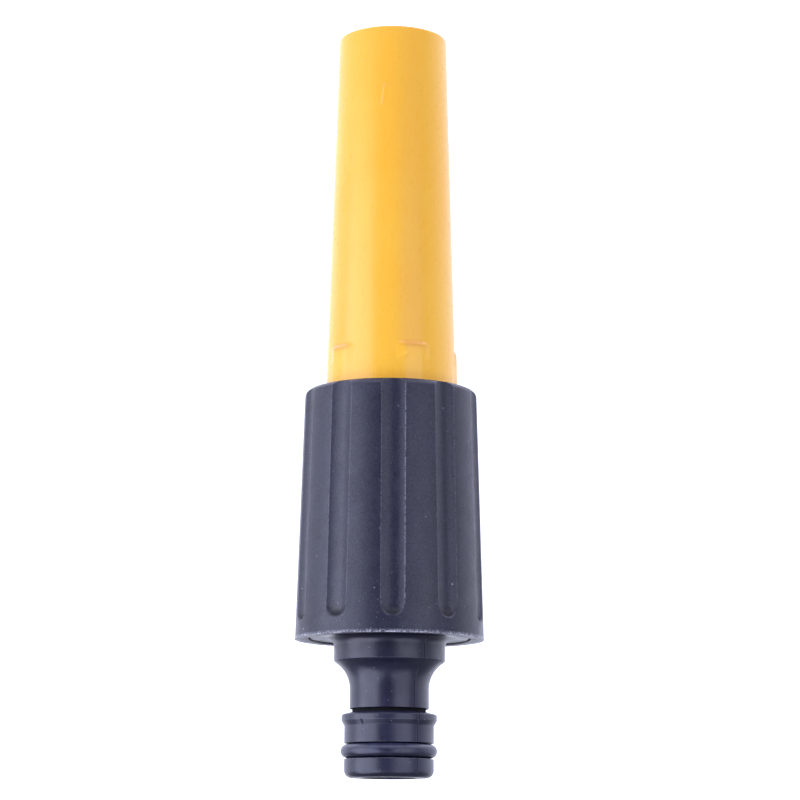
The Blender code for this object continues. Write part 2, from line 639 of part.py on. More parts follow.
def main():
    for obj in list(bpy.data.objects):
        bpy.data.objects.remove(obj)
    nozzle = new_collection("Hose spray nozzle")

    tail_plastic = material("tail_plastic", (0.052, 0.056, 0.088), 0.42)
    grip_plastic = material("grip_plastic", (0.050, 0.053, 0.080), 0.58)
    barrel_plastic = material("barrel_plastic", (0.90, 0.49, 0.035), 0.33)
    inner_plastic = material("inner_plastic", (0.30, 0.31, 0.33), 0.45)
    seal_rubber = material("seal_rubber", (0.030, 0.032, 0.045), 0.50)

    make_tail(nozzle, tail_plastic)
    make_tail_ring(nozzle, seal_rubber)
    make_stem(nozzle, inner_plastic)
    make_stem_ring(nozzle, seal_rubber)
    make_barrel_seal(nozzle, seal_rubber)
    make_plug(nozzle, inner_plastic)
    make_shut_off_ring(nozzle, seal_rubber)
    turning = [
        make_stop_ring(nozzle, inner_plastic),
        make_barrel(nozzle, barrel_plastic),
        make_collar(nozzle, grip_plastic),
    ]
    axis = bpy.data.objects.new("twist_axis", None)
    nozzle.objects.link(axis)
    for piece in turning:
        piece.parent = axis


main()
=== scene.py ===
"""The looks of the twist-adjust hose spray nozzle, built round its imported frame.

Every moulding is turned about Z again at a fine step, with its rounded edges, flutes, key pads, mould
joint and moulding flash as real shape. Azimuths are in degrees from the front, which is -Y, towards +X.
"""

import math

import bmesh
import bpy
import numpy as np
from mathutils import Matrix, Vector


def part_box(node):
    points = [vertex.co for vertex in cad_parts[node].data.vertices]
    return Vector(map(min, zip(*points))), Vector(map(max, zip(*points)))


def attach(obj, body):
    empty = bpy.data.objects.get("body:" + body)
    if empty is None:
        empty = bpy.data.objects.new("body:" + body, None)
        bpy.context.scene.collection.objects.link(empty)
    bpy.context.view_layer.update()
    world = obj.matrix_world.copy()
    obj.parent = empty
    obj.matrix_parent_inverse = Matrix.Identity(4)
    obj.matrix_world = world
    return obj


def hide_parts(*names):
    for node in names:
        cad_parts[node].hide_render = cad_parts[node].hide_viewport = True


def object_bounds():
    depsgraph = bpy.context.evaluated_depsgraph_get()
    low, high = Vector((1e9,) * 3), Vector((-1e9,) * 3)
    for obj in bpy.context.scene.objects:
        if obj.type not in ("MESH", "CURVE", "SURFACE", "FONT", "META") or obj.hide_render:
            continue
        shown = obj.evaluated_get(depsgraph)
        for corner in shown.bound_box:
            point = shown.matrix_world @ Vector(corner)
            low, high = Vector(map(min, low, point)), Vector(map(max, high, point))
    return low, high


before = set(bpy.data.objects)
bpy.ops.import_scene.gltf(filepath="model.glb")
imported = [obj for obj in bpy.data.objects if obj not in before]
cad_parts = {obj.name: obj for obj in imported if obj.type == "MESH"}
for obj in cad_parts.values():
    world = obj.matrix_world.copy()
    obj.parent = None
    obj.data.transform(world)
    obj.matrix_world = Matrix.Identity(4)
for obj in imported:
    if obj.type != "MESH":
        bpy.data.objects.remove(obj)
cad_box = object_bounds()

MM = 0.001

# Clearances, and how far the barrel travels, as in the frame
FIT_GAP = 0.25 * MM
SEAL_GAP = 0.15 * MM
RUNNING_GAP = 0.35 * MM
TRAVEL = 7.0 * MM

# Places that the frame gives
TAIL_LOW, TAIL_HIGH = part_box("hose_tail")
TAIL_RING_LOW, TAIL_RING_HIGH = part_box("tail_o_ring")
STEM_LOW, STEM_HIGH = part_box("valve_stem")
STEM_RING_LOW, STEM_RING_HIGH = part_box("stem_o_ring")
PLUG_LOW, PLUG_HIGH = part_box("spray_plug")
SHUT_OFF_LOW, SHUT_OFF_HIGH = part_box("shut_off_ring")
STOP_LOW, STOP_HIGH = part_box("stop_ring")
BARREL_LOW, BARREL_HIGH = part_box("nozzle_barrel")
COLLAR_LOW, COLLAR_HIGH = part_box("grip_collar")
SEAL_LOW, SEAL_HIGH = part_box("barrel_seal")

# Click-on end of the tail
NOSE_RADIUS = TAIL_RING_HIGH.x - 0.6 * MM
NOSE_ROUNDING = 1.8 * MM
WATERWAY_RADIUS = 4.3 * MM
MOUTH_CHAMFER = 0.6 * MM
GROOVE_FOOT = TAIL_RING_LOW.z - SEAL_GAP
GROOVE_TOP = TAIL_RING_HIGH.z + SEAL_GAP
TAIL_RING_SECTION = TAIL_RING_HIGH.z - TAIL_RING_LOW.z
GROOVE_RADIUS = TAIL_RING_HIGH.x - TAIL_RING_SECTION - SEAL_GAP
RIDGE_RADIUS = 8.0 * MM
RIDGE_FOOT = GROOVE_TOP + 2.9 * MM
RIDGE_CREST_FOOT = RIDGE_FOOT + 0.85 * MM
RIDGE_CREST_TOP = RIDGE_CREST_FOOT + 1.0 * MM
NECK_RADIUS = 6.65 * MM
NECK_FOOT = RIDGE_CREST_TOP + 0.35 * MM
NECK_TOP = NECK_FOOT + 4.0 * MM
UNDERCUT_DEPTH = 0.45 * MM     # fine groove at the foot of the neck
UNDERCUT_HEIGHT = 0.65 * MM
FLARE_RADIUS = 5.2 * MM
SHOULDER_RADIUS = 9.35 * MM
SHOULDER_EDGE = 0.25 * MM
FLARE_ANGLE = math.acos(1 - (SHOULDER_RADIUS - SHOULDER_EDGE - NECK_RADIUS) / FLARE_RADIUS)
SHOULDER_FOOT = NECK_TOP + FLARE_RADIUS * math.sin(FLARE_ANGLE) + SHOULDER_EDGE
FLANGE_FILLET = 1.45 * MM

# Tail above its shoulder, and the walls round the spindle
STEM_BORE_RADIUS = 4.4 * MM
STEM_RADIUS = 6.4 * MM
SOCKET_RADIUS = STEM_RADIUS + FIT_GAP
SPIGOT_RADIUS = STEM_HIGH.x
SPIGOT_TOP = TAIL_HIGH.z
FLANGE_FOOT = COLLAR_LOW.z + 0.25 * MM
FLANGE_TOP = FLANGE_FOOT + 1.6 * MM
FLOOR_TOP = BARREL_LOW.z - 0.45 * MM
SOCKET_FOOT = STEM_LOW.z - FIT_GAP
BEAD_RADIUS = TAIL_HIGH.x
SKIRT_RADIUS = BEAD_RADIUS - 0.7 * MM
SKIRT_BORE = SKIRT_RADIUS - 1.05 * MM
BEAD_FOOT = STOP_HIGH.z + TRAVEL + FIT_GAP
SKIRT_TOP = BEAD_FOOT + 1.2 * MM
FLANGE_RADIUS = BEAD_RADIUS + FIT_GAP - RUNNING_GAP

# Thread
THREAD_LEAD = 8.0 * MM
THREAD_STARTS = 2
THREAD_HEIGHT = 1.15 * MM
THREAD_FLANK = math.tan(math.radians(15))
THREAD_SHARE = 0.475
THREAD_SINK = 0.5 * MM
SPIGOT_CREST = SPIGOT_RADIUS + THREAD_HEIGHT
SEAL_BORE = SPIGOT_RADIUS + 0.4 * MM
THREAD_BORE = SPIGOT_CREST + 0.3 * MM
THREAD_BORE_TOP = SPIGOT_TOP - TRAVEL - THREAD_HEIGHT - 2 * FIT_GAP
SPIGOT_THREAD_START = FLOOR_TOP + 2.45 * MM
BARREL_THREAD_START = BARREL_LOW.z + 2.9 * MM
BARREL_THREAD_RISE = 4.5 * MM

# Grip collar
COLLAR_BORE = BEAD_RADIUS + FIT_GAP
COLLAR_UPPER_BORE = COLLAR_BORE - 0.85 * MM
COLLAR_DRAFT = math.tan(math.radians(1.7))
COLLAR_TOP_ROUNDING = 1.1 * MM
KEY_TOP = COLLAR_HIGH.z - 2.5 * MM
KEY_FOOT = KEY_TOP - 15.4 * MM
KEY_WIDTH = 5.0 * MM
FLUTES = 10
FLUTE_PHASE = 2.0
FLUTE_HALF_WIDTH = 2.0 * MM
FLUTE_DEPTH = 0.6 * MM
FLUTE_FOOT = COLLAR_LOW.z + 2.65 * MM
FLUTE_END = FLUTE_FOOT + FLUTE_HALF_WIDTH
FLUTE_HALF_ANGLE = math.degrees(FLUTE_HALF_WIDTH / COLLAR_HIGH.x)
FLUTE_EDGE = 0.05 * MM         # rounding of the flutes' edges

# Barrel
BARREL_ROOT_RADIUS = BARREL_HIGH.x - 1.1 * MM
BARREL_TAPER = math.tan(math.radians(1.64))
BARREL_WALL = 2.4 * MM
SEAT_FLANGE_TOP = KEY_FOOT - FIT_GAP
SEAT_FLANGE_FOOT = SEAT_FLANGE_TOP - 1.6 * MM
TIP_ROUNDING = 0.45 * MM
TIP_LIP = 1.5 * MM
ORIFICE_RADIUS = 3.0 * MM
ORIFICE_TOP = BARREL_HIGH.z - 6.5 * MM
ORIFICE_FOOT = ORIFICE_TOP - 1.5 * MM
SEAT_SLOPE = 0.81
PADS = 5
PAD_ANGLE = 24
PAD_PHASE = 20.5
PAD_HEIGHT = 0.33 * MM
PAD_TOP = COLLAR_HIGH.z + 7.1 * MM
PAD_RAMP = 0.8 * MM
PAD_EDGE = 11.0                # degrees over which a pad's side rises

# Marks that moulding and use have left, and painted shade and highlight
GATE_AZIMUTH = 12.5
GATE_HEIGHT = 70.0 * MM
GATE_RADIUS = 0.45 * MM
GATE_RISE = 0.07 * MM
TICK_AZIMUTH = -35.0
TICK_HEIGHT = RIDGE_CREST_FOOT - 0.4 * MM
TICK_RADIUS = 0.13 * MM
TICK_DEPTH = 0.25 * MM
PARTING_AZIMUTH = 39.0
PARTING_WIDTH = 0.1 * MM
PARTING_DEPTH = 0.12 * MM
PARTING_STEP = 0.05 * MM
FLASH_RISE = 0.10 * MM
SCRATCH_AZIMUTH = -10.0
SCRATCH_FOOT = 113.7 * MM
SCRATCH_TOP = 118.1 * MM
SCRATCH_LEAN = 13.0            # radians of azimuth for each metre of height
# Painted shade on the barrel just above the collar, and a darker band round the tip's rim
COLLAR_SHADE_FOOT = COLLAR_HIGH.z + 0.6 * MM
COLLAR_SHADE_TOP = COLLAR_HIGH.z + 2.6 * MM
RIM_BAND_HEIGHT = 0.5 * MM
# Painted shade on the key pads' upper ends
PAD_SHADE_AMOUNT = 0.6
DUST_LOW = COLLAR_LOW.z + 4.0 * MM
DUST_HIGH = COLLAR_LOW.z + 14.0 * MM
TAIL_WEAR = 0.14
COLLAR_WEAR = 0.2
FLUTE_WEAR = 0.1
LIT_EDGE_HIGHLIGHT = 0.25            # painted highlight added along the front flute's right edge
LIT_EDGE_REACH = 3.0            # in degrees
# Painted shade at the flutes' lower ends
FLUTE_END_SHADE = 0.8
TOP_SHADE_HEIGHT = 0.3 * MM        # of the painted shade line round the collar's top

# Camera and stage
CAMERA_DISTANCE = 433.5 * MM
CAMERA_HEIGHT = -14.5 * MM
CAMERA_RIGHT = 1.97 * MM
CAMERA_TILT = 10.3
CAMERA_ROLL = -0.3
CAMERA_LENS = 115.5
FLOOR_DROP = 0.2 * MM
FLOOR_RADIUS = 30.0
WORLD_FRONT = 0.1
WORLD_BACK = 1.55
WORLD_TOP = 2.75
WORLD_ZENITH = 0.4
WORLD_BOTTOM = 0.28
WORLD_COLOUR = (0.95, 0.98, 1.2)
LIGHT_COLOUR = (0.93, 0.96, 1.2)
LEFT_POWER = 7.0
RIGHT_POWER = 3.2

# Steps of the world's brightness along an axis: from, to, the value before, and the value after.
# None stands for what the steps before it have made.
WORLD_STEPS = (
    ("Y", -0.6, 0.5, WORLD_FRONT, WORLD_BACK),
    ("Z", 0.4, 0.75, None, WORLD_TOP),
    ("Z", 0.85, 0.98, None, WORLD_ZENITH),
    ("Z", -0.5, -0.2, WORLD_BOTTOM, None),
)


# ---------------------------------------------------------------- mesh helpers


def turn_angle(azimuth):
    """Angle about Z from +X, in radians, of an azimuth in degrees."""
    return np.radians(np.asarray(azimuth, float) - 90)


def off_azimuth(angle, azimuth):
    """Degrees from an azimuth to an angle about Z, from -180 to 180."""
    return (np.degrees(angle) + 90 - azimuth + 180) % 360 - 180


def smooth_step(value):
    """0 below 0, 1 above 1, with an easy rise between."""
    t = np.clip(value, 0, 1)
    return t * t * (3 - 2 * t)


def arc(centre_r, centre_z, radius, start, end, steps=16):
    """Points (radius, height, no fillet) on an arc, its angles in degrees from the outward direction."""
    angles = np.radians(np.linspace(start, end, steps + 1))
    return [(centre_r + radius * math.cos(a), centre_z + radius * math.sin(a), 0) for a in angles]


def fillet_points(before, corner, after, fillet):
    """Points of the arc that rounds one corner of an outline."""
    to_before = (before - corner).normalized()
    to_after = (after - corner).normalized()
    half = to_before.angle(to_after) / 2
    reach = min((before - corner).length, (after - corner).length) * 0.49
    tangent = min(fillet / math.tan(half), reach)
    radius = tangent * math.tan(half)
    centre = corner + (to_before + to_after).normalized() * (radius / math.sin(half))
    start = corner + to_before * tangent - centre
    end = corner + to_after * tangent - centre
    sweep = start.angle_signed(end)
    steps = max(2, math.ceil(abs(math.degrees(sweep)) / 15))
    return [centre + Matrix.Rotation(-sweep * i / steps, 2) @ start for i in range(steps + 1)]


def outline(corners):
    """Closed outline through (radius, height, fillet) corners, each rounded by its fillet."""
    points = []
    places = [Vector(c[:2]) for c in corners]
    for i, (_, _, fillet) in enumerate(corners):
        if fillet:
            points += fillet_points(places[i - 1], places[i], places[(i + 1) % len(places)], fillet)
        else:
            points.append(places[i])
    return np.array(points)


def refined(profile, low, high, beyond, step):
    """The outline with points no more than step apart between two heights, outside a radius."""
    points = []
    for start, end in zip(profile, np.roll(profile, -1, axis=0)):
        points.append(start)
        if min(start[0], end[0]) < beyond or start[1] <= end[1]:
            continue
        heights = np.arange(high, low, -step)
        heights = heights[(heights < start[1] - step / 3) & (heights > end[1] + step / 3)]
        for height in heights:
            points.append(start + (end - start) * (start[1] - height) / (start[1] - end[1]))
    return np.array(points)


def around(count, *dense):
    """Angles round a full turn: count even ones, and more of them round each (azimuth, reach, step)."""
    angles = [np.degrees(turn_angle(0)) + np.arange(count) * 360 / count]
    for azimuth, reach, step in dense:
        angles.append(np.degrees(turn_angle(azimuth)) + np.arange(-reach, reach + step / 2, step))
    merged = np.unique(np.round(np.concatenate(angles) % 360, 4))
    return np.radians(merged[np.diff(merged, prepend=-1) > 0.03])


def wander(angles, knots, seed):
    """Smooth random values from 0 to 1 round a turn."""
    values = np.random.default_rng(seed).random(knots)
    places = np.linspace(0, math.tau, knots, endpoint=False)
    return np.interp(angles, places, values, period=math.tau)


def edge_wear(profile, angles, share):
    """How worn each point is: up to share on the outline's small outer roundings, 0 elsewhere."""
    back = profile - np.roll(profile, 1, axis=0)
    ahead = np.roll(profile, -1, axis=0) - profile
    turn = back[:, 1] * ahead[:, 0] - back[:, 0] * ahead[:, 1]
    back_length = np.linalg.norm(back, axis=1)
    ahead_length = np.linalg.norm(ahead, axis=1)
    bend = turn / (back_length * ahead_length) / ((back_length + ahead_length) / 2)
    worn = np.clip((bend * MM - 1.5) / 4, 0, 1) * share
    return np.tile(worn, (len(angles), 1))


def moulding(name, heights, radii, angles, marks=None):
    """A closed moulding from one outline for each angle. radii and marks are by angle, then by point."""
    count, points = radii.shape
    cos, sin = np.cos(angles)[:, None], np.sin(angles)[:, None]
    places = np.stack([radii * cos, radii * sin, np.broadcast_to(heights, radii.shape)], axis=-1)
    index = np.arange(count * points).reshape(count, points)
    right = np.roll(index, -1, axis=0)
    faces = np.stack([index, np.roll(index, -1, 1), np.roll(right, -1, 1), right], axis=-1)
    mesh = bpy.data.meshes.new(name)
    mesh.from_pydata(places.reshape(-1, 3).tolist(), [], faces.reshape(-1, 4).tolist())
    for mark, values in (marks or {}).items():
        attribute = mesh.attributes.new(mark, "FLOAT", "POINT")
        attribute.data.foreach_set("value", np.ascontiguousarray(values, np.float32).ravel())
    return link(name, mesh)


def turned(name, corners, angles):
    """A moulding with the same outline all round. Points on the axis are merged."""
    profile = outline(corners)
    piece = moulding(name, profile[:, 1], np.tile(profile[:, 0], (len(angles), 1)), angles)
    bm = bmesh.new()
    bm.from_mesh(piece.data)
    bmesh.ops.remove_doubles(bm, verts=bm.verts, dist=0.0001 * MM)
    bmesh.ops.dissolve_degenerate(bm, edges=bm.edges, dist=0.0001 * MM)
    bm.to_mesh(piece.data)
    bm.free()
    return piece


def link(name, mesh):
    """A new object for a mesh, in the scene."""
    piece = bpy.data.objects.new(name, mesh)
    bpy.context.scene.collection.objects.link(piece)
    return piece


def swept(name, section, start, sweep, rise, degrees_a_step=4):
    """A flat (radius, height) section swept about Z through sweep degrees, climbing by rise."""
    steps = max(2, math.ceil(sweep / degrees_a_step))
    bm = bmesh.new()
    face = bm.faces.new([bm.verts.new((r, 0, z)) for r, z in section])
    bmesh.ops.rotate(bm, verts=bm.verts, cent=(0, 0, 0), matrix=Matrix.Rotation(start, 3, "Z"))
    bmesh.ops.spin(
        bm,
        geom=[face, *face.edges, *face.verts],
        cent=(0, 0, 0),
        axis=(0, 0, 1),
        dvec=(0, 0, rise / steps),
        angle=math.radians(sweep),
        steps=steps,
    )
    bmesh.ops.recalc_face_normals(bm, faces=bm.faces)
    mesh = bpy.data.meshes.new(name)
    bm.to_mesh(mesh)
    bm.free()
    return link(name, mesh)


def block(name, size, centre, turn):
    """A box of that size whose middle is at centre before it is turned about Z by turn."""
    bm = bmesh.new()
    bmesh.ops.create_cube(bm, size=1.0)
    bmesh.ops.scale(bm, verts=bm.verts, vec=size)
    bmesh.ops.translate(bm, verts=bm.verts, vec=centre)
    bmesh.ops.rotate(bm, verts=bm.verts, cent=(0, 0, 0), matrix=Matrix.Rotation(turn, 3, "Z"))
    mesh = bpy.data.meshes.new(name)
    bm.to_mesh(mesh)
    bm.free()
    return link(name, mesh)


def combine(piece, helpers, operation):
    """Cuts the helpers from a piece, or joins them to it, and removes them."""
    for helper in helpers:
        boolean = piece.modifiers.new(helper.name, "BOOLEAN")
        boolean.operation = operation
        boolean.object = helper
        boolean.solver = "EXACT"
    evaluated = piece.evaluated_get(bpy.context.evaluated_depsgraph_get())
    mesh = bpy.data.meshes.new_from_object(evaluated)
    piece.modifiers.clear()
    piece.data = mesh
    for helper in helpers:
        bpy.data.objects.remove(helper)


def finished(piece, body, node, material):
    """Shades a piece, gives it its material, and puts it on its body in place of its CAD node."""
    piece.data.materials.clear()
    piece.data.materials.append(material)
    piece.data.shade_smooth()
    piece.data.set_sharp_from_angle(angle=math.radians(32))
    weighted = piece.modifiers.new("Even shading", "WEIGHTED_NORMAL")
    weighted.keep_sharp = True
    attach(piece, body)
    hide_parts(node)


# ---------------------------------------------------------------- shader helpers


class Shader:
    """A material's node tree, with short ways to add nodes."""

    def __init__(self, name):
        self.material = bpy.data.materials.new(name)
        self.material.use_nodes = True
        self.tree = self.material.node_tree
        self.surface = self.tree.nodes["Principled BSDF"]
        self.place = self.add("ShaderNodeTexCoord").outputs["Object"]

    def add(self, kind, inputs=None, **settings):
        """Adds a node, sets its properties, and sets or links its inputs by name or number."""
        node = self.tree.nodes.new(kind)
        for key, value in settings.items():
            setattr(node, key, value)
        for key, value in (inputs or {}).items():
            self.feed(node.inputs[key], value)
        return node

    def feed(self, socket, value):
        """Links an output to a socket, or sets the socket's value."""
        if isinstance(value, bpy.types.NodeSocket):
            self.tree.links.new(value, socket)
        else:
            socket.default_value = value

    def math(self, operation, *values, clamp=False):
        """The result of a Math node on outputs or plain values."""
        node = self.add("ShaderNodeMath", dict(enumerate(values)), operation=operation, use_clamp=clamp)
        return node.outputs[0]

    def scaled(self, factors):
        """The object coordinates, each axis multiplied by its factor."""
        inputs = {"Vector": self.place, "Scale": factors}
        return self.add("ShaderNodeMapping", inputs).outputs["Vector"]

    def noise(self, size, detail=2.0, roughness=0.5, place=None, distortion=0.0):
        """Noise whose features are about size across."""
        inputs = {
            "Vector": place or self.place,
            "Scale": 1 / size,
            "Detail": detail,
            "Roughness": roughness,
            "Distortion": distortion,
        }
        return self.add("ShaderNodeTexNoise", inputs).outputs["Fac"]

    def spread(self, value, low, high, to_low=0.0, to_high=1.0):
        """Maps low..high to to_low..to_high, clamped, with an easy rise."""
        inputs = {"Value": value, 1: low, 2: high, 3: to_low, 4: to_high}
        node = self.add("ShaderNodeMapRange", inputs, interpolation_type="SMOOTHSTEP")
        return node.outputs[0]

    def blend(self, factor, first, second):
        """Mixes two colours."""
        node = self.add("ShaderNodeMix", {"Factor": factor}, data_type="RGBA")
        self.feed(node.inputs[6], first)
        self.feed(node.inputs[7], second)
        return node.outputs[2]

    def specks(self, size, share, radius):
        """Round specks, one in some of the cells of a loose pattern: 1 inside a speck, 0 outside."""
        cells = self.add("ShaderNodeTexVoronoi", {"Vector": self.place, "Scale": 1 / size})
        pick = self.add("ShaderNodeSeparateColor", {"Color": cells.outputs["Color"]})
        near = self.math("MULTIPLY", pick.outputs["Green"], radius / size)
        inside = self.math("SUBTRACT", near, cells.outputs["Distance"])
        inside = self.math("MULTIPLY", inside, 5 * size / radius, clamp=True)
        chosen = self.math("GREATER_THAN", pick.outputs["Red"], 1 - share)
        return self.math("MULTIPLY", inside, chosen)

    def bump(self, height, distance, strength=1.0, normal=None):
        """A normal bent by a height, on top of another normal if one is given."""
        inputs = {"Height": height, "Distance": distance, "Strength": strength}
        if normal is not None:
            inputs["Normal"] = normal
        return self.add("ShaderNodeBump", inputs).outputs["Normal"]


def colour(red, green, blue):
    """A linear colour from 8-bit screen values."""
    linear = []
    for value in (red, green, blue):
        share = value / 255
        linear.append(share / 12.92 if share <= 0.04045 else ((share + 0.055) / 1.055) ** 2.4)
    return (*linear, 1.0)


# ---------------------------------------------------------------- materials


def barrel_shade_and_rim_band(s):
    """Painted shade just above the collar and on the pads' upper ends, and a darker band round the tip's rim.
    """
    height = s.add("ShaderNodeSeparateXYZ", {"Vector": s.place}).outputs["Z"]
    above_collar = s.spread(height, COLLAR_SHADE_FOOT, COLLAR_SHADE_TOP, 0.25, 0.0)
    rim_foot = BARREL_HIGH.z - RIM_BAND_HEIGHT
    rim = s.spread(height, rim_foot, rim_foot + 0.6 * RIM_BAND_HEIGHT, 0.0, 0.3)
    on_pads = s.add("ShaderNodeAttribute", attribute_name="pad_shade").outputs["Fac"]
    return s.math("MAXIMUM", s.math("MAXIMUM", above_collar, rim), on_pads)


def barrel_scratch(s):
    """One fine leaning scratch below the tip: 1 on it, 0 elsewhere."""
    parts = s.add("ShaderNodeSeparateXYZ", {"Vector": s.place}).outputs
    azimuth = s.math("ARCTAN2", parts["X"], s.math("MULTIPLY", parts["Y"], -1.0))
    half = (SCRATCH_TOP - SCRATCH_FOOT) / 2
    above_middle = s.math("SUBTRACT", parts["Z"], SCRATCH_FOOT + half)
    aside = s.math("SUBTRACT", azimuth, math.radians(SCRATCH_AZIMUTH))
    aside = s.math("ABSOLUTE", s.math("SUBTRACT", aside, s.math("MULTIPLY", above_middle, SCRATCH_LEAN)))
    across = s.spread(aside, 0.002, 0.008, 1, 0)
    along = s.spread(s.math("ABSOLUTE", above_middle), half * 0.7, half, 1, 0)
    return s.math("MULTIPLY", across, along)


def barrel_material():
    """Satin-gloss yellow plastic, a little translucent, with flow streaks and one fine scratch."""
    s = Shader("Yellow barrel plastic")
    cloud = s.noise(14 * MM, detail=3)
    streaks = s.noise(1.2 * MM, detail=3, place=s.scaled((1, 1, 0.06)))
    base = s.blend(s.spread(cloud, 0.35, 0.65), colour(249, 186, 56), colour(249, 190, 62))
    base = s.blend(s.spread(streaks, 0.45, 0.8, 0, 0.15), base, colour(248, 181, 52))

    # Painted shade above the collar and on the pads' upper ends, and a darker band round the tip's rim
    base = s.blend(barrel_shade_and_rim_band(s), base, colour(196, 118, 22))
    scratch = barrel_scratch(s)
    base = s.blend(s.math("MULTIPLY", scratch, 0.7), base, colour(255, 232, 170))

    scuffs = s.noise(0.35 * MM, detail=4, place=s.scaled((1, 1, 0.25)), distortion=1.5)
    roughness = s.spread(scuffs, 0.3, 0.8, 0.27, 0.31)
    peel = s.bump(s.noise(1.4 * MM, detail=2), 0.004 * MM, 0.5)
    grain = s.bump(s.noise(0.12 * MM, detail=2), 0.0012 * MM, 0.5, peel)
    grooved = s.bump(s.math("MULTIPLY", scratch, -1.0), 0.03 * MM, 1.0, grain)

    s.feed(s.surface.inputs["Base Color"], base)
    s.feed(s.surface.inputs["Roughness"], roughness)
    s.feed(s.surface.inputs["Normal"], grooved)
    s.surface.inputs["Specular IOR Level"].default_value = 0.43
    s.surface.inputs["Subsurface Weight"].default_value = 0.15
    s.surface.inputs["Subsurface Radius"].default_value = (1.0, 0.55, 0.12)
    s.surface.inputs["Subsurface Scale"].default_value = 1.4 * MM
    return s.material


def add_dust(s, base, share):
    """Pale dust specks of two sizes over a base colour, most of them low on the collar and below it."""
    height = s.add("ShaderNodeSeparateXYZ", {"Vector": s.place}).outputs["Z"]
    settled = s.spread(height, DUST_LOW, DUST_HIGH, 1.0, 0.3)
    fine = s.specks(0.6 * MM, share, 0.11 * MM)
    base = s.blend(s.math("MULTIPLY", fine, s.math("MULTIPLY", settled, 0.45)), base, colour(150, 152, 170))
    patches = s.math("MULTIPLY", s.spread(s.noise(9 * MM, detail=2), 0.4, 0.6), settled)
    coarse = s.math("MULTIPLY", s.specks(1.4 * MM, share, 0.18 * MM), patches)
    return s.blend(s.math("MULTIPLY", coarse, 0.7), base, colour(176, 178, 196))


def dark_plastic(name, deep, light, roughness, grain_size, grain_rise, speck_share):
    """Slate moulded plastic, fine-grained and dusty, with dull painted shade and paler "edge" wear and
    painted highlight.
    """
    s = Shader(name)
    cloud = s.noise(6 * MM, detail=4, roughness=0.6)
    base = s.blend(s.spread(cloud, 0.3, 0.7), deep, light)
    mottle = s.spread(s.noise(0.3 * MM, detail=3), 0.35, 0.65, 0, speck_share)
    base = s.blend(s.math("MULTIPLY", mottle, 0.2), base, colour(78, 80, 108))
    base = add_dust(s, base, speck_share)

    # Painted shade: near-black, and rough, where an attribute marks the neck's undercut, flute ends and
    # collar top
    painted_shade = s.add("ShaderNodeAttribute", attribute_name="painted_shade").outputs["Fac"]
    base = s.blend(painted_shade, base, colour(10, 10, 18))
    edge = s.add("ShaderNodeAttribute", attribute_name="edge").outputs["Fac"]
    # Pale edges: worn rounded edges, with painted highlight on the collar's rim and front flute's right edge
    worn = s.math("MULTIPLY", edge, s.spread(s.noise(0.25 * MM, detail=3), 0.35, 0.6))
    base = s.blend(worn, base, colour(214, 215, 226))

    rub = s.noise(2.5 * MM, detail=4, roughness=0.65)
    rough = s.spread(rub, 0.3, 0.7, roughness - 0.05, roughness + 0.05)
    coarse = s.bump(s.noise(grain_size * 3, detail=2), grain_rise, 0.5)
    fine = s.bump(s.noise(grain_size, detail=2), grain_rise, 0.8, coarse)
    s.feed(s.surface.inputs["Base Color"], base)
    s.feed(s.surface.inputs["Roughness"], s.math("MAXIMUM", rough, painted_shade))
    s.feed(s.surface.inputs["Normal"], fine)
    s.surface.inputs["Specular IOR Level"].default_value = 0.47
    return s.material


def rubber_material():
    """Black moulded rubber with a soft sheen, faint bloom and dust."""
    s = Shader("Seal rubber")
    bloom = s.spread(s.noise(1.6 * MM, detail=4, roughness=0.6), 0.35, 0.75)
    base = s.blend(bloom, colour(34, 36, 58), colour(46, 48, 74))
    dust = s.specks(0.8 * MM, 0.25, 0.07 * MM)
    base = s.blend(s.math("MULTIPLY", dust, 0.4), base, colour(150, 152, 168))
    s.feed(s.surface.inputs["Base Color"], base)
    s.feed(s.surface.inputs["Roughness"], s.spread(s.noise(0.7 * MM, detail=3), 0.3, 0.7, 0.3, 0.4))
    s.feed(s.surface.inputs["Normal"], s.bump(s.noise(0.2 * MM, detail=3), 0.006 * MM, 0.7))
    s.surface.inputs["IOR"].default_value = 1.5
    return s.material


def inner_material():
    """Grey moulded plastic of the spindle, plug and stop ring, with faint water marks."""
    s = Shader("Inner grey plastic")
    marks = s.spread(s.noise(2.2 * MM, detail=5, roughness=0.65, distortion=0.8), 0.5, 0.75)
    base = s.blend(marks, colour(148, 150, 154), colour(168, 168, 168))
    s.feed(s.surface.inputs["Base Color"], base)
    s.feed(s.surface.inputs["Roughness"], s.spread(marks, 0, 1, 0.36, 0.5))
    s.feed(s.surface.inputs["Normal"], s.bump(s.noise(0.3 * MM, detail=2), 0.006 * MM, 0.6))
    return s.material


# ---------------------------------------------------------------- pieces


def spigot_ridge():
    """Section of the spigot's thread ridge, its middle at the thread's start."""
    half = THREAD_LEAD / THREAD_STARTS * THREAD_SHARE / 2
    lost = THREAD_FLANK * THREAD_HEIGHT
    return [
        (SPIGOT_RADIUS - THREAD_SINK, SPIGOT_THREAD_START + half),
        (SPIGOT_RADIUS, SPIGOT_THREAD_START + half),
        (SPIGOT_CREST, SPIGOT_THREAD_START + half - lost),
        (SPIGOT_CREST, SPIGOT_THREAD_START - half + lost),
        (SPIGOT_RADIUS, SPIGOT_THREAD_START - half),
        (SPIGOT_RADIUS - THREAD_SINK, SPIGOT_THREAD_START - half),
    ]


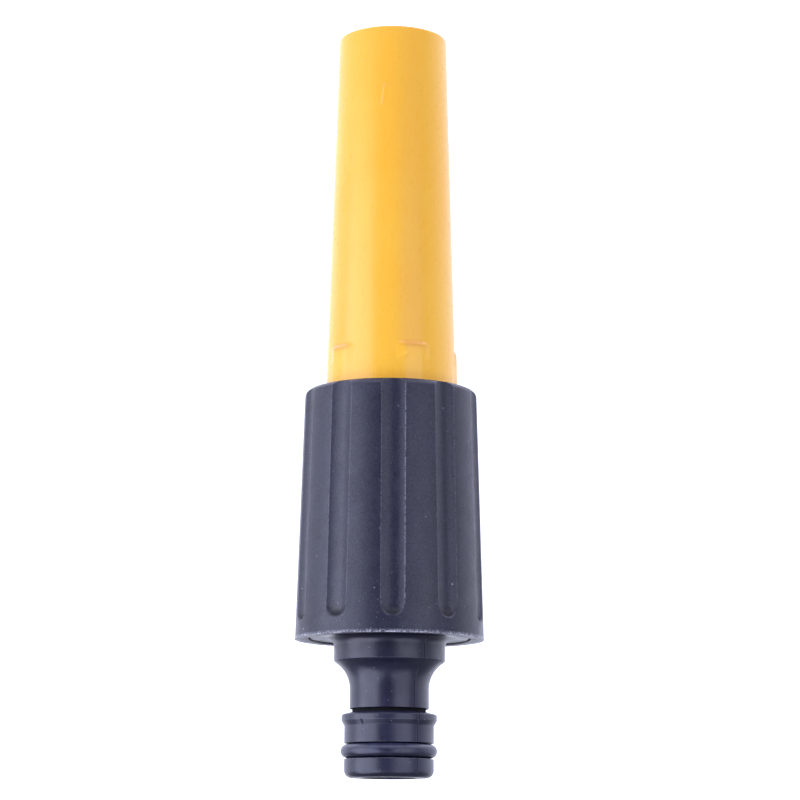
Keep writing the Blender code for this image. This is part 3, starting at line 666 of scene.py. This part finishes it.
def tail_outline():
    """Outline of the tail, from the spigot's tip down its outside and up through the waterway."""
    flare = arc(NECK_RADIUS + FLARE_RADIUS, NECK_TOP, FLARE_RADIUS, 180 - math.degrees(FLARE_ANGLE), 180)
    corners = [
        (SOCKET_RADIUS, SPIGOT_TOP, 0.15 * MM),
        (SPIGOT_RADIUS, SPIGOT_TOP, 0.3 * MM),
        (SPIGOT_RADIUS, FLOOR_TOP, 0.3 * MM),
        (SKIRT_BORE, FLOOR_TOP, 0.3 * MM),
        (SKIRT_BORE, SKIRT_TOP, 0.15 * MM),
        (SKIRT_RADIUS, SKIRT_TOP, 0.1 * MM),
        (BEAD_RADIUS, SKIRT_TOP - 0.7 * MM, 0.15 * MM),
        (BEAD_RADIUS, BEAD_FOOT, 0.1 * MM),
        (SKIRT_RADIUS, BEAD_FOOT, 0.1 * MM),
        (SKIRT_RADIUS, FLANGE_TOP, 0.2 * MM),
        (FLANGE_RADIUS, FLANGE_TOP, 0.12 * MM),
        (FLANGE_RADIUS, FLANGE_FOOT, 0.12 * MM),
        (SHOULDER_RADIUS, FLANGE_FOOT, FLANGE_FILLET),
        (SHOULDER_RADIUS, SHOULDER_FOOT, 0.12 * MM),
        *flare,
        (NECK_RADIUS, NECK_FOOT + UNDERCUT_HEIGHT, 0.05 * MM),
        (NECK_RADIUS - UNDERCUT_DEPTH, NECK_FOOT + UNDERCUT_HEIGHT, 0.05 * MM),
        (NECK_RADIUS - UNDERCUT_DEPTH, NECK_FOOT, 0.05 * MM),
        (NECK_RADIUS, NECK_FOOT, 0.08 * MM),
        (RIDGE_RADIUS, RIDGE_CREST_TOP, 0.3 * MM),
        (RIDGE_RADIUS, RIDGE_CREST_FOOT, 0.35 * MM),
        (NOSE_RADIUS, RIDGE_FOOT, 0.3 * MM),
        (NOSE_RADIUS, GROOVE_TOP, 0.1 * MM),
        (GROOVE_RADIUS, GROOVE_TOP, 0.2 * MM),
        (GROOVE_RADIUS, GROOVE_FOOT, 0.2 * MM),
        (NOSE_RADIUS, GROOVE_FOOT, 0.12 * MM),
        (NOSE_RADIUS, TAIL_LOW.z, NOSE_ROUNDING),
        (WATERWAY_RADIUS + MOUTH_CHAMFER, TAIL_LOW.z, 0.1 * MM),
        (WATERWAY_RADIUS, TAIL_LOW.z + MOUTH_CHAMFER, 0.2 * MM),
        (WATERWAY_RADIUS, SOCKET_FOOT, 0.1 * MM),
        (SOCKET_RADIUS, SOCKET_FOOT, 0.2 * MM),
    ]
    return refined(outline(corners), RIDGE_FOOT, RIDGE_CREST_FOOT, NECK_RADIUS, 0.1 * MM)


def with_mould_joint(profile, angles, radii):
    """The tail's radii with the mould joint: a fine line down two sides, and a slight step between halves."""
    moulded = (profile[:, 1] < FLANGE_FOOT - 0.3 * MM) & (profile[:, 0] > NECK_RADIUS - 0.1 * MM)
    for side in (0, 180):
        aside = np.radians(off_azimuth(angles, PARTING_AZIMUTH + side))[:, None] * radii
        radii = radii - moulded * PARTING_DEPTH * np.exp(-((aside / PARTING_WIDTH) ** 2))
    half_turn = smooth_step((90 - np.abs(off_azimuth(angles, PARTING_AZIMUTH + 90)))[:, None] / 0.5 + 0.5)
    return radii + moulded * PARTING_STEP * half_turn


def with_tick(profile, angles, radii):
    """The tail's radii with the small nick under its ridge."""
    aside = np.radians(off_azimuth(angles, TICK_AZIMUTH))[:, None] * radii
    tick = np.exp(-((aside / TICK_RADIUS) ** 2) - ((profile[:, 1] - TICK_HEIGHT) / (3 * TICK_RADIUS)) ** 2)
    return radii - TICK_DEPTH * tick * (profile[:, 0] > NOSE_RADIUS - 0.01 * MM)


def make_tail(material):
    """Hose tail with its thread, mould joint and nick."""
    profile = tail_outline()
    dense = [(azimuth, 4, 0.25) for azimuth in (PARTING_AZIMUTH, PARTING_AZIMUTH + 180, TICK_AZIMUTH)]
    angles = around(240, *dense)
    radii = np.tile(profile[:, 0], (len(angles), 1))
    radii = with_mould_joint(profile, angles, radii)
    radii = with_tick(profile, angles, radii)
    undercut = np.abs(profile[:, 1] - NECK_FOOT) < 2 * UNDERCUT_HEIGHT
    edge = edge_wear(profile, angles, TAIL_WEAR) * ~undercut
    # Painted shade inside the undercut at the neck's foot
    painted_shade = np.tile(undercut * (profile[:, 0] < NECK_RADIUS - 0.1 * MM) * 1.0, (len(angles), 1))
    tail = moulding("tail_moulding", profile[:, 1], radii, angles, {"edge": edge, "painted_shade": painted_shade})
    half_ridge = THREAD_LEAD / THREAD_STARTS * THREAD_SHARE / 2
    rise = THREAD_BORE_TOP - half_ridge - RUNNING_GAP - SPIGOT_THREAD_START
    ridges = []
    for start in range(THREAD_STARTS):
        turn = math.tau * start / THREAD_STARTS
        ridges.append(swept(f"spigot_ridge_{start}", spigot_ridge(), turn, 360 * rise / THREAD_LEAD, rise))
    combine(tail, ridges, "UNION")
    finished(tail, "tail", "hose_tail", material)


def make_o_ring(name, low, high, body, node, material):
    """An O-ring that fills its node's box, with a faint moulding line round its outside."""
    section = (high.z - low.z) / 2
    centre = high.x - section
    round_section = arc(centre, (low.z + high.z) / 2, section, 90, -270, 40)[:-1]
    radii = np.array([point[0] for point in round_section])
    heights = np.array([point[1] for point in round_section])
    seam = np.exp(-(((heights - (low.z + high.z) / 2) / (0.05 * MM)) ** 2)) * (radii > centre)
    angles = around(240)
    ripple = 0.5 + 0.5 * wander(angles, 60, 3)[:, None]
    around_radii = radii + seam * 0.02 * MM * ripple
    ring = moulding(name, heights, around_radii, angles)
    finished(ring, body, node, material)


def make_stem(material):
    """Spindle: a tube with a flange above the seal and four ports below its plug."""
    groove_radius = STEM_RING_HIGH.x - SEAL_GAP - (STEM_RING_HIGH.z - STEM_RING_LOW.z)
    seal_top = SEAL_HIGH.z + SEAL_GAP
    corners = [
        (STEM_BORE_RADIUS, STEM_HIGH.z, 0.15 * MM),
        (STEM_RADIUS, STEM_HIGH.z, 0.3 * MM),
        (STEM_RADIUS, seal_top + 1.5 * MM, 0.2 * MM),
        (SPIGOT_RADIUS, seal_top + 1.5 * MM, 0.2 * MM),
        (SPIGOT_RADIUS, seal_top, 0.1 * MM),
        (STEM_RADIUS, seal_top, 0.1 * MM),
        (STEM_RADIUS, STEM_RING_HIGH.z + SEAL_GAP, 0.05 * MM),
        (groove_radius, STEM_RING_HIGH.z + SEAL_GAP, 0.1 * MM),
        (groove_radius, STEM_RING_LOW.z - SEAL_GAP, 0.1 * MM),
        (STEM_RADIUS, STEM_RING_LOW.z - SEAL_GAP, 0.05 * MM),
        (STEM_RADIUS, STEM_LOW.z, 0.2 * MM),
        (STEM_BORE_RADIUS, STEM_LOW.z, 0.2 * MM),
    ]
    stem = turned("spindle_tube", corners, around(160))
    port_top = PLUG_LOW.z - 1.0 * MM
    size = (4 * STEM_RADIUS, 4.6 * MM, 8.0 * MM)
    centre = (0, 0, port_top - size[2] / 2)
    ports = [block(f"port_{i}", size, centre, math.pi / 2 * i) for i in range(2)]
    combine(stem, ports, "DIFFERENCE")
    finished(stem, "tail", "valve_stem", material)


def make_plug(material):
    """Plug and jet pin, pressed in the spindle's tip."""
    ring_radius = (SHUT_OFF_HIGH.z - SHUT_OFF_LOW.z) / 2
    ring_centre = SHUT_OFF_HIGH.x - ring_radius
    core = ring_centre - ring_radius - SEAL_GAP
    cap = core + 3 * SEAL_GAP
    cap_foot = SHUT_OFF_HIGH.z + SEAL_GAP
    cap_top = cap_foot + 0.7 * MM
    disc = ring_centre + ring_radius + 0.4 * MM
    disc_top = SHUT_OFF_LOW.z - SEAL_GAP
    disc_foot = disc_top - 1.0 * MM
    shoulder_foot = STEM_HIGH.z + FIT_GAP
    shoulder_top = shoulder_foot + 1.0 * MM
    shoulder = PLUG_HIGH.x
    root = STEM_BORE_RADIUS - FIT_GAP
    corners = [
        (0, PLUG_HIGH.z - 0.25 * MM, 0),
        (0.55 * MM, PLUG_HIGH.z - 0.25 * MM, 0.1 * MM),
        (0.75 * MM, PLUG_HIGH.z, 0.1 * MM),
        (2.1 * MM, PLUG_HIGH.z, 0.15 * MM),
        (2.1 * MM, PLUG_HIGH.z - 0.25 * MM, 0.05 * MM),
        (1.4 * MM, PLUG_HIGH.z - 1.25 * MM, 0.3 * MM),
        (1.4 * MM, cap_top, 0.2 * MM),
        (cap, cap_top, 0.2 * MM),
        (cap, cap_foot, 0.05 * MM),
        (core, cap_foot, 0.1 * MM),
        (core, disc_top, 0.1 * MM),
        (disc, disc_top, 0.1 * MM),
        (disc, disc_foot, 0.1 * MM),
        (3.0 * MM, disc_foot, 0.3 * MM),
        (3.0 * MM, shoulder_top + 1.7 * MM, 0.5 * MM),
        (shoulder, shoulder_top, 0.2 * MM),
        (shoulder, shoulder_foot, 0.1 * MM),
        (root, shoulder_foot, 0.1 * MM),
        (root, PLUG_LOW.z, 0.3 * MM),
        (0, PLUG_LOW.z, 0),
    ]
    plug = turned("plug_and_pin", corners, around(160))
    finished(plug, "tail", "spray_plug", material)



def make_stop_ring(material):
    """Split ring in the collar's groove."""
    inner = SKIRT_RADIUS + FIT_GAP
    outer = COLLAR_BORE + 0.45 * MM
    middle = (STOP_LOW.z + STOP_HIGH.z) / 2
    half = (STOP_HIGH.z - STOP_LOW.z) / 2
    bevel = 0.12 * MM
    section = [
        (inner + bevel, middle + half),
        (outer - bevel, middle + half),
        (outer, middle + half - bevel),
        (outer, middle - half + bevel),
        (outer - bevel, middle - half),
        (inner + bevel, middle - half),
        (inner, middle - half + bevel),
        (inner, middle + half - bevel),
    ]
    mouth = 24
    ring = swept("split_ring", section, math.radians(mouth / 2), 360 - mouth, 0, 2)
    finished(ring, "stop", "stop_ring", material)


def barrel_radius(height):
    """Outer radius of the barrel's cone."""
    return BARREL_ROOT_RADIUS + 0.27 * MM - (height - SEAT_FLANGE_TOP) * BARREL_TAPER


def barrel_ridge():
    """Section of the barrel's thread ridge, its middle at the thread's start."""
    pitch = THREAD_LEAD / THREAD_STARTS
    crest = SEAL_BORE + 0.05 * MM
    spigot_width = pitch * THREAD_SHARE - 2 * THREAD_FLANK * (crest - SPIGOT_RADIUS)
    half = (pitch - spigot_width) / 2 - RUNNING_GAP
    gained = half + THREAD_FLANK * (THREAD_BORE - crest)
    return [
        (crest, BARREL_THREAD_START + half),
        (THREAD_BORE, BARREL_THREAD_START + gained),
        (THREAD_BORE + THREAD_SINK, BARREL_THREAD_START + gained),
        (THREAD_BORE + THREAD_SINK, BARREL_THREAD_START - gained),
        (THREAD_BORE, BARREL_THREAD_START - gained),
        (crest, BARREL_THREAD_START - half),
    ]


def pad_rise(heights, angles):
    """How far the key pads stand out of the barrel's cone, by angle, then by height."""
    nearest = off_azimuth(angles, PAD_PHASE) % (360 / PADS)
    nearest = np.minimum(nearest, 360 / PADS - nearest)
    across = smooth_step((PAD_ANGLE / 2 - nearest) / PAD_EDGE + 0.5)[:, None]
    along = smooth_step((PAD_TOP - heights) / PAD_RAMP) * (heights > SEAT_FLANGE_TOP + 0.1 * MM)
    return PAD_HEIGHT * across * along


def barrel_outline():
    """Outline of the barrel, from the tip's rim down its outside and up through the bore and outlet bell."""
    bore_top_radius = barrel_radius(ORIFICE_FOOT) - BARREL_WALL
    seat_foot = ORIFICE_FOOT - SEAT_SLOPE * (bore_top_radius - ORIFICE_RADIUS)
    tip_radius = barrel_radius(BARREL_HIGH.z)
    corners = [
        (tip_radius - TIP_ROUNDING - TIP_LIP, BARREL_HIGH.z, 0.25 * MM),
        (tip_radius, BARREL_HIGH.z, TIP_ROUNDING),
        (barrel_radius(SEAT_FLANGE_TOP), SEAT_FLANGE_TOP, 0.1 * MM),
        (BARREL_HIGH.x, SEAT_FLANGE_TOP, 0.15 * MM),
        (BARREL_HIGH.x, SEAT_FLANGE_FOOT, 0.2 * MM),
        (BARREL_ROOT_RADIUS, SEAT_FLANGE_FOOT - 1.1 * MM, 0.3 * MM),
        (BARREL_ROOT_RADIUS, BARREL_LOW.z, 0.25 * MM),
        (THREAD_BORE + FIT_GAP, BARREL_LOW.z, 0.05 * MM),
        (THREAD_BORE, BARREL_LOW.z + 2 * FIT_GAP, 0.1 * MM),
        (THREAD_BORE, THREAD_BORE_TOP, 0.3 * MM),
        (SEAL_BORE, THREAD_BORE_TOP + THREAD_HEIGHT, 0.3 * MM),
        (SEAL_BORE, SEAL_HIGH.z + SEAL_GAP + 3.0 * MM, 0.5 * MM),
        (bore_top_radius, seat_foot, 0.6 * MM),
        (ORIFICE_RADIUS, ORIFICE_FOOT, 0.2 * MM),
        (ORIFICE_RADIUS, ORIFICE_TOP, 0.5 * MM),
    ]
    profile = outline(corners)
    beyond = tip_radius - 1.0 * MM
    profile = refined(profile, PAD_TOP - 2 * PAD_RAMP, PAD_TOP + 0.3 * MM, beyond, 0.12 * MM)
    return refined(profile, GATE_HEIGHT - GATE_RADIUS, GATE_HEIGHT + GATE_RADIUS, beyond, 0.08 * MM)


def make_barrel(material):
    """Tapered barrel with its key pads, gate mark, outlet bell, seat and thread."""
    profile = barrel_outline()
    radius, height = profile.T
    pad_sides = []
    for i in range(PADS):
        for side in (-1, 1):
            pad_sides.append((PAD_PHASE + 360 * i / PADS + side * PAD_ANGLE / 2, 6.0, 0.6))
    angles = around(288, (GATE_AZIMUTH, 2.8, 0.35), *pad_sides)
    radii = np.tile(radius, (len(angles), 1))
    outer = radius > barrel_radius(height) - 1.0 * MM
    aside = np.radians(off_azimuth(angles, GATE_AZIMUTH))[:, None] * radii
    from_gate = np.hypot(aside, height - GATE_HEIGHT)
    radii = radii + outer * pad_rise(height, angles)
    radii = radii + outer * GATE_RISE * smooth_step(1.6 - 1.6 * from_gate / GATE_RADIUS)
    # Painted shade on the pads' upper ends, where their ramps face up
    ledge = np.exp(-(((height - PAD_TOP + 0.6 * PAD_RAMP) / (0.8 * PAD_RAMP)) ** 2)) * outer
    pad_shade = PAD_SHADE_AMOUNT * ledge * pad_rise(np.full(1, SEAT_FLANGE_TOP + MM), angles) / PAD_HEIGHT
    barrel = moulding("barrel_moulding", height, radii, angles, {"pad_shade": pad_shade})
    pitch = THREAD_LEAD / THREAD_STARTS
    lead_in = (BARREL_THREAD_START - SPIGOT_THREAD_START - pitch / 2) / THREAD_LEAD
    sweep = 360 * BARREL_THREAD_RISE / THREAD_LEAD
    ridges = []
    for start in range(THREAD_STARTS):
        turn = math.tau * (lead_in + start / THREAD_STARTS)
        ridges.append(swept(f"barrel_ridge_{start}", barrel_ridge(), turn, sweep, BARREL_THREAD_RISE))
    combine(barrel, ridges, "UNION")
    finished(barrel, "barrel", "nozzle_barrel", material)


def flute_cut(surface, heights, angles):
    """Depth of the flutes, which have round lower ends, below the collar's wall. Negative outside them."""
    pitch = 360 / FLUTES
    nearest = off_azimuth(angles, FLUTE_PHASE) % pitch
    nearest = np.radians(np.minimum(nearest, pitch - nearest))[:, None]
    below = np.maximum(FLUTE_END - heights, 0)
    from_middle = np.hypot(surface * np.sin(nearest), below)
    steepness = 2 + 2 * below / np.maximum(from_middle, 0.01 * MM)
    return FLUTE_DEPTH * (1 - np.minimum(from_middle / FLUTE_HALF_WIDTH, 1.5) ** steepness)


def collar_outline():
    """Outline of the collar, from its top down its outside and up through its bore."""
    low, high = COLLAR_LOW.z, COLLAR_HIGH.z
    top_radius = COLLAR_HIGH.x - (high - low) * COLLAR_DRAFT
    hole = barrel_radius(KEY_TOP) + PAD_HEIGHT + FIT_GAP
    groove_radius = COLLAR_BORE + 0.45 * MM + FIT_GAP
    step_top = KEY_FOOT - FIT_GAP - 1.6 * MM
    corners = [
        (hole, high, 0.3 * MM),
        (top_radius, high, COLLAR_TOP_ROUNDING),
        (COLLAR_HIGH.x, low, 0.14 * MM),
        (COLLAR_BORE, low, 0.2 * MM),
        (COLLAR_BORE, STOP_LOW.z - FIT_GAP / 2, 0.05 * MM),
        (groove_radius, STOP_LOW.z - FIT_GAP / 2, 0.1 * MM),
        (groove_radius, STOP_HIGH.z + FIT_GAP / 2, 0.1 * MM),
        (COLLAR_BORE, STOP_HIGH.z + FIT_GAP / 2, 0.05 * MM),
        (COLLAR_BORE, step_top - 3.4 * MM, 0.5 * MM),
        (COLLAR_UPPER_BORE, step_top, 0.5 * MM),
        (COLLAR_UPPER_BORE, KEY_TOP, 0.3 * MM),
        (hole, KEY_TOP, 0.2 * MM),
    ]
    profile = refined(outline(corners), low + 0.5 * MM, FLUTE_END + 1.0 * MM, COLLAR_BORE, 0.13 * MM)
    return refined(profile, FLUTE_END, high - COLLAR_TOP_ROUNDING, top_radius - MM, 3.0 * MM)


def collar_marks(profile, angles, cut, on_wall, flash):
    """How worn each point of the collar is, with painted highlight, and where it gets painted shade."""
    height = profile[:, 1]
    # Painted highlight along the front flute's right edge, on top of the flutes' edge wear
    from_lit_edge = off_azimuth(angles, FLUTE_PHASE + FLUTE_HALF_ANGLE)[:, None]
    wear_and_highlight = FLUTE_WEAR + LIT_EDGE_HIGHLIGHT * np.exp(-((from_lit_edge / LIT_EDGE_REACH) ** 2))
    flute_wear_and_highlight = wear_and_highlight * np.exp(-((cut / (0.9 * FLUTE_EDGE)) ** 2)) * on_wall * (height > FLUTE_END)
    edge = np.maximum(edge_wear(profile, angles, COLLAR_WEAR), flute_wear_and_highlight)
    # Pale line along the rim's flash, partly wear and partly painted highlight
    edge = np.maximum(edge, flash)
    # Painted shade at the flutes' lower ends
    near_end = smooth_step((FLUTE_END - height) / FLUTE_HALF_WIDTH + 0.2)
    painted_shade = FLUTE_END_SHADE * smooth_step(cut / (0.3 * MM)) * near_end * on_wall
    # Painted shade line round the collar's top
    painted_shade = np.maximum(painted_shade, smooth_step((height - COLLAR_HIGH.z) / TOP_SHADE_HEIGHT + 1))
    return {"edge": edge, "painted_shade": painted_shade}


def collar_keys():
    """Keys inside the collar that sit between the barrel's pads."""
    inner = barrel_radius(SEAT_FLANGE_TOP) + FIT_GAP
    outer = COLLAR_UPPER_BORE + 0.5 * MM
    size = (outer - inner, KEY_WIDTH, KEY_TOP + 1.0 * MM - KEY_FOOT)
    centre = ((outer + inner) / 2, 0, KEY_FOOT + size[2] / 2)
    keys = []
    for i in range(PADS):
        turn = float(turn_angle(PAD_PHASE + 360 * (i + 0.5) / PADS))
        keys.append(block(f"collar_key_{i}", size, centre, turn))
    return keys


def make_collar(material):
    """Fluted grip collar, with ragged moulding flash on its lower rim."""
    profile = collar_outline()
    radius, height = profile.T
    edges = []
    for i in range(FLUTES):
        for side in (-1, 1):
            edges.append((FLUTE_PHASE + 360 * i / FLUTES + side * FLUTE_HALF_ANGLE, 1.25, 0.25))
    angles = around(720, *edges)

    surface = COLLAR_HIGH.x - (height - COLLAR_LOW.z) * COLLAR_DRAFT
    cut = flute_cut(surface, height, angles) - np.maximum(surface - radius, 0)
    near = np.maximum(FLUTE_EDGE - np.abs(cut), 0)
    depth = np.maximum(cut, 0) + near**2 / (4 * FLUTE_EDGE)
    on_wall = radius > surface - 1.05 * COLLAR_TOP_ROUNDING
    radii = radius - depth * on_wall

    rim = np.exp(-(((height - COLLAR_LOW.z) / (0.16 * MM)) ** 2)) * (radius > COLLAR_HIGH.x - 0.2 * MM)
    ragged = (wander(angles, 430, 5) * wander(angles, 90, 6))[:, None]
    radii = radii + rim * FLASH_RISE * (0.25 + 1.5 * ragged)
    # Its pale mark is partly wear and partly painted highlight
    flash = rim * np.clip(0.5 + 1.6 * ragged, 0, 1)

    marks = collar_marks(profile, angles, cut, on_wall, flash)
    collar = moulding("collar_moulding", height, radii, angles, marks)
    combine(collar, collar_keys(), "UNION")
    finished(collar, "barrel", "grip_collar", material)


# ---------------------------------------------------------------- stage


def make_camera():
    """Camera in front of the nozzle and just below its foot, tilted up at its middle."""
    data = bpy.data.cameras.new("Camera")
    data.lens = CAMERA_LENS
    data.sensor_width = 36
    data.clip_start = 0.01
    camera = bpy.data.objects.new("Camera", data)
    camera.location = (CAMERA_RIGHT, -CAMERA_DISTANCE, CAMERA_HEIGHT)
    camera.rotation_euler = [math.radians(a) for a in (90 + CAMERA_TILT, CAMERA_ROLL, 0)]
    bpy.context.scene.collection.objects.link(camera)
    bpy.context.scene.camera = camera


def make_light(name, azimuth, elevation, distance, width, height, power):
    """A softbox that faces the middle of the nozzle."""
    data = bpy.data.lights.new(name, "AREA")
    data.shape = "RECTANGLE"
    data.size = width
    data.size_y = height
    data.energy = power
    data.color = LIGHT_COLOUR
    light = bpy.data.objects.new(name, data)
    turn, lift = float(turn_angle(azimuth)), math.radians(elevation)
    middle = Vector((0, 0, (cad_box[0][2] + cad_box[1][2]) / 2))
    away = Vector((math.cos(turn) * math.cos(lift), math.sin(turn) * math.cos(lift), math.sin(lift)))
    light.location = middle + away * distance
    light.rotation_euler = away.to_track_quat("Z", "Y").to_euler()
    bpy.context.scene.collection.objects.link(light)


def make_world():
    """White studio, brightest behind and above the nozzle, and darker below it and on the camera's side."""
    world = bpy.data.worlds.new("Studio")
    bpy.context.scene.world = world
    world.use_nodes = True
    tree = world.node_tree
    coordinates = tree.nodes.new("ShaderNodeTexCoord")
    parts = tree.nodes.new("ShaderNodeSeparateXYZ")
    tree.links.new(coordinates.outputs["Generated"], parts.inputs[0])
    level = None
    for axis, low, high, at_low, at_high in WORLD_STEPS:
        ramp = tree.nodes.new("ShaderNodeMapRange")
        ramp.interpolation_type = "SMOOTHSTEP"
        tree.links.new(parts.outputs[axis], ramp.inputs["Value"])
        for place, value in enumerate((low, high), start=1):
            ramp.inputs[place].default_value = value
        for place, value in enumerate((at_low, at_high), start=3):
            if value is None:
                tree.links.new(level, ramp.inputs[place])
            else:
                ramp.inputs[place].default_value = value
        level = ramp.outputs[0]
    background = tree.nodes["Background"]
    background.inputs["Color"].default_value = (*WORLD_COLOUR, 1)
    tree.links.new(level, background.inputs["Strength"])


def make_floor():
    """Pale floor under the nozzle, one-way because the camera looks up from below it.

    It is hidden from diffuse and glossy rays, so the nozzle's undersides see the dim lower world.
    """
    bm = bmesh.new()
    bmesh.ops.create_circle(bm, cap_ends=True, radius=FLOOR_RADIUS, segments=96)
    bmesh.ops.translate(bm, verts=bm.verts, vec=(0, 0, TAIL_LOW.z - FLOOR_DROP))
    mesh = bpy.data.meshes.new("floor")
    bm.to_mesh(mesh)
    bm.free()
    floor = link("floor", mesh)
    s = Shader("Pale floor")
    s.surface.inputs["Base Color"].default_value = (0.82, 0.82, 0.82, 1)
    s.surface.inputs["Roughness"].default_value = 0.7
    facing = s.add("ShaderNodeNewGeometry").outputs["Backfacing"]
    clear = s.add("ShaderNodeBsdfTransparent").outputs[0]
    mix = s.add("ShaderNodeMixShader", {0: facing, 1: s.surface.outputs[0], 2: clear})
    s.feed(s.tree.nodes["Material Output"].inputs["Surface"], mix.outputs[0])
    mesh.materials.append(s.material)
    floor.visible_diffuse = False
    floor.visible_glossy = False


def main():
    """Makes the stage, the materials and every piece."""
    bpy.context.scene.view_settings.view_transform = "Standard"
    make_camera()
    make_world()
    make_light("Left softbox", -62, -17, 0.55, 0.68, 0.85, LEFT_POWER)
    make_light("Right softbox", 38, -17, 0.6, 0.53, 0.85, RIGHT_POWER)
    make_floor()

    rubber = rubber_material()
    inner = inner_material()
    tail = dark_plastic(
        "Tail plastic",
        deep=colour(31, 32, 53),
        light=colour(39, 40, 62),
        roughness=0.34,
        grain_size=0.2 * MM,
        grain_rise=0.006 * MM,
        speck_share=0.35,
    )
    grip = dark_plastic(
        "Grip plastic",
        deep=colour(17, 18, 36),
        light=colour(25, 26, 45),
        roughness=0.4,
        grain_size=0.14 * MM,
        grain_rise=0.018 * MM,
        speck_share=0.8,
    )

    make_tail(tail)
    make_o_ring("tail_seal", TAIL_RING_LOW, TAIL_RING_HIGH, "tail", "tail_o_ring", rubber)
    make_o_ring("stem_seal", STEM_RING_LOW, STEM_RING_HIGH, "tail", "stem_o_ring", rubber)
    make_o_ring("bore_seal", SEAL_LOW, SEAL_HIGH, "tail", "barrel_seal", rubber)
    make_o_ring("shut_off_seal", SHUT_OFF_LOW, SHUT_OFF_HIGH, "tail", "shut_off_ring", rubber)
    make_stem(inner)
    make_plug(inner)
    make_stop_ring(inner)
    make_barrel(barrel_material())
    make_collar(grip)


main()
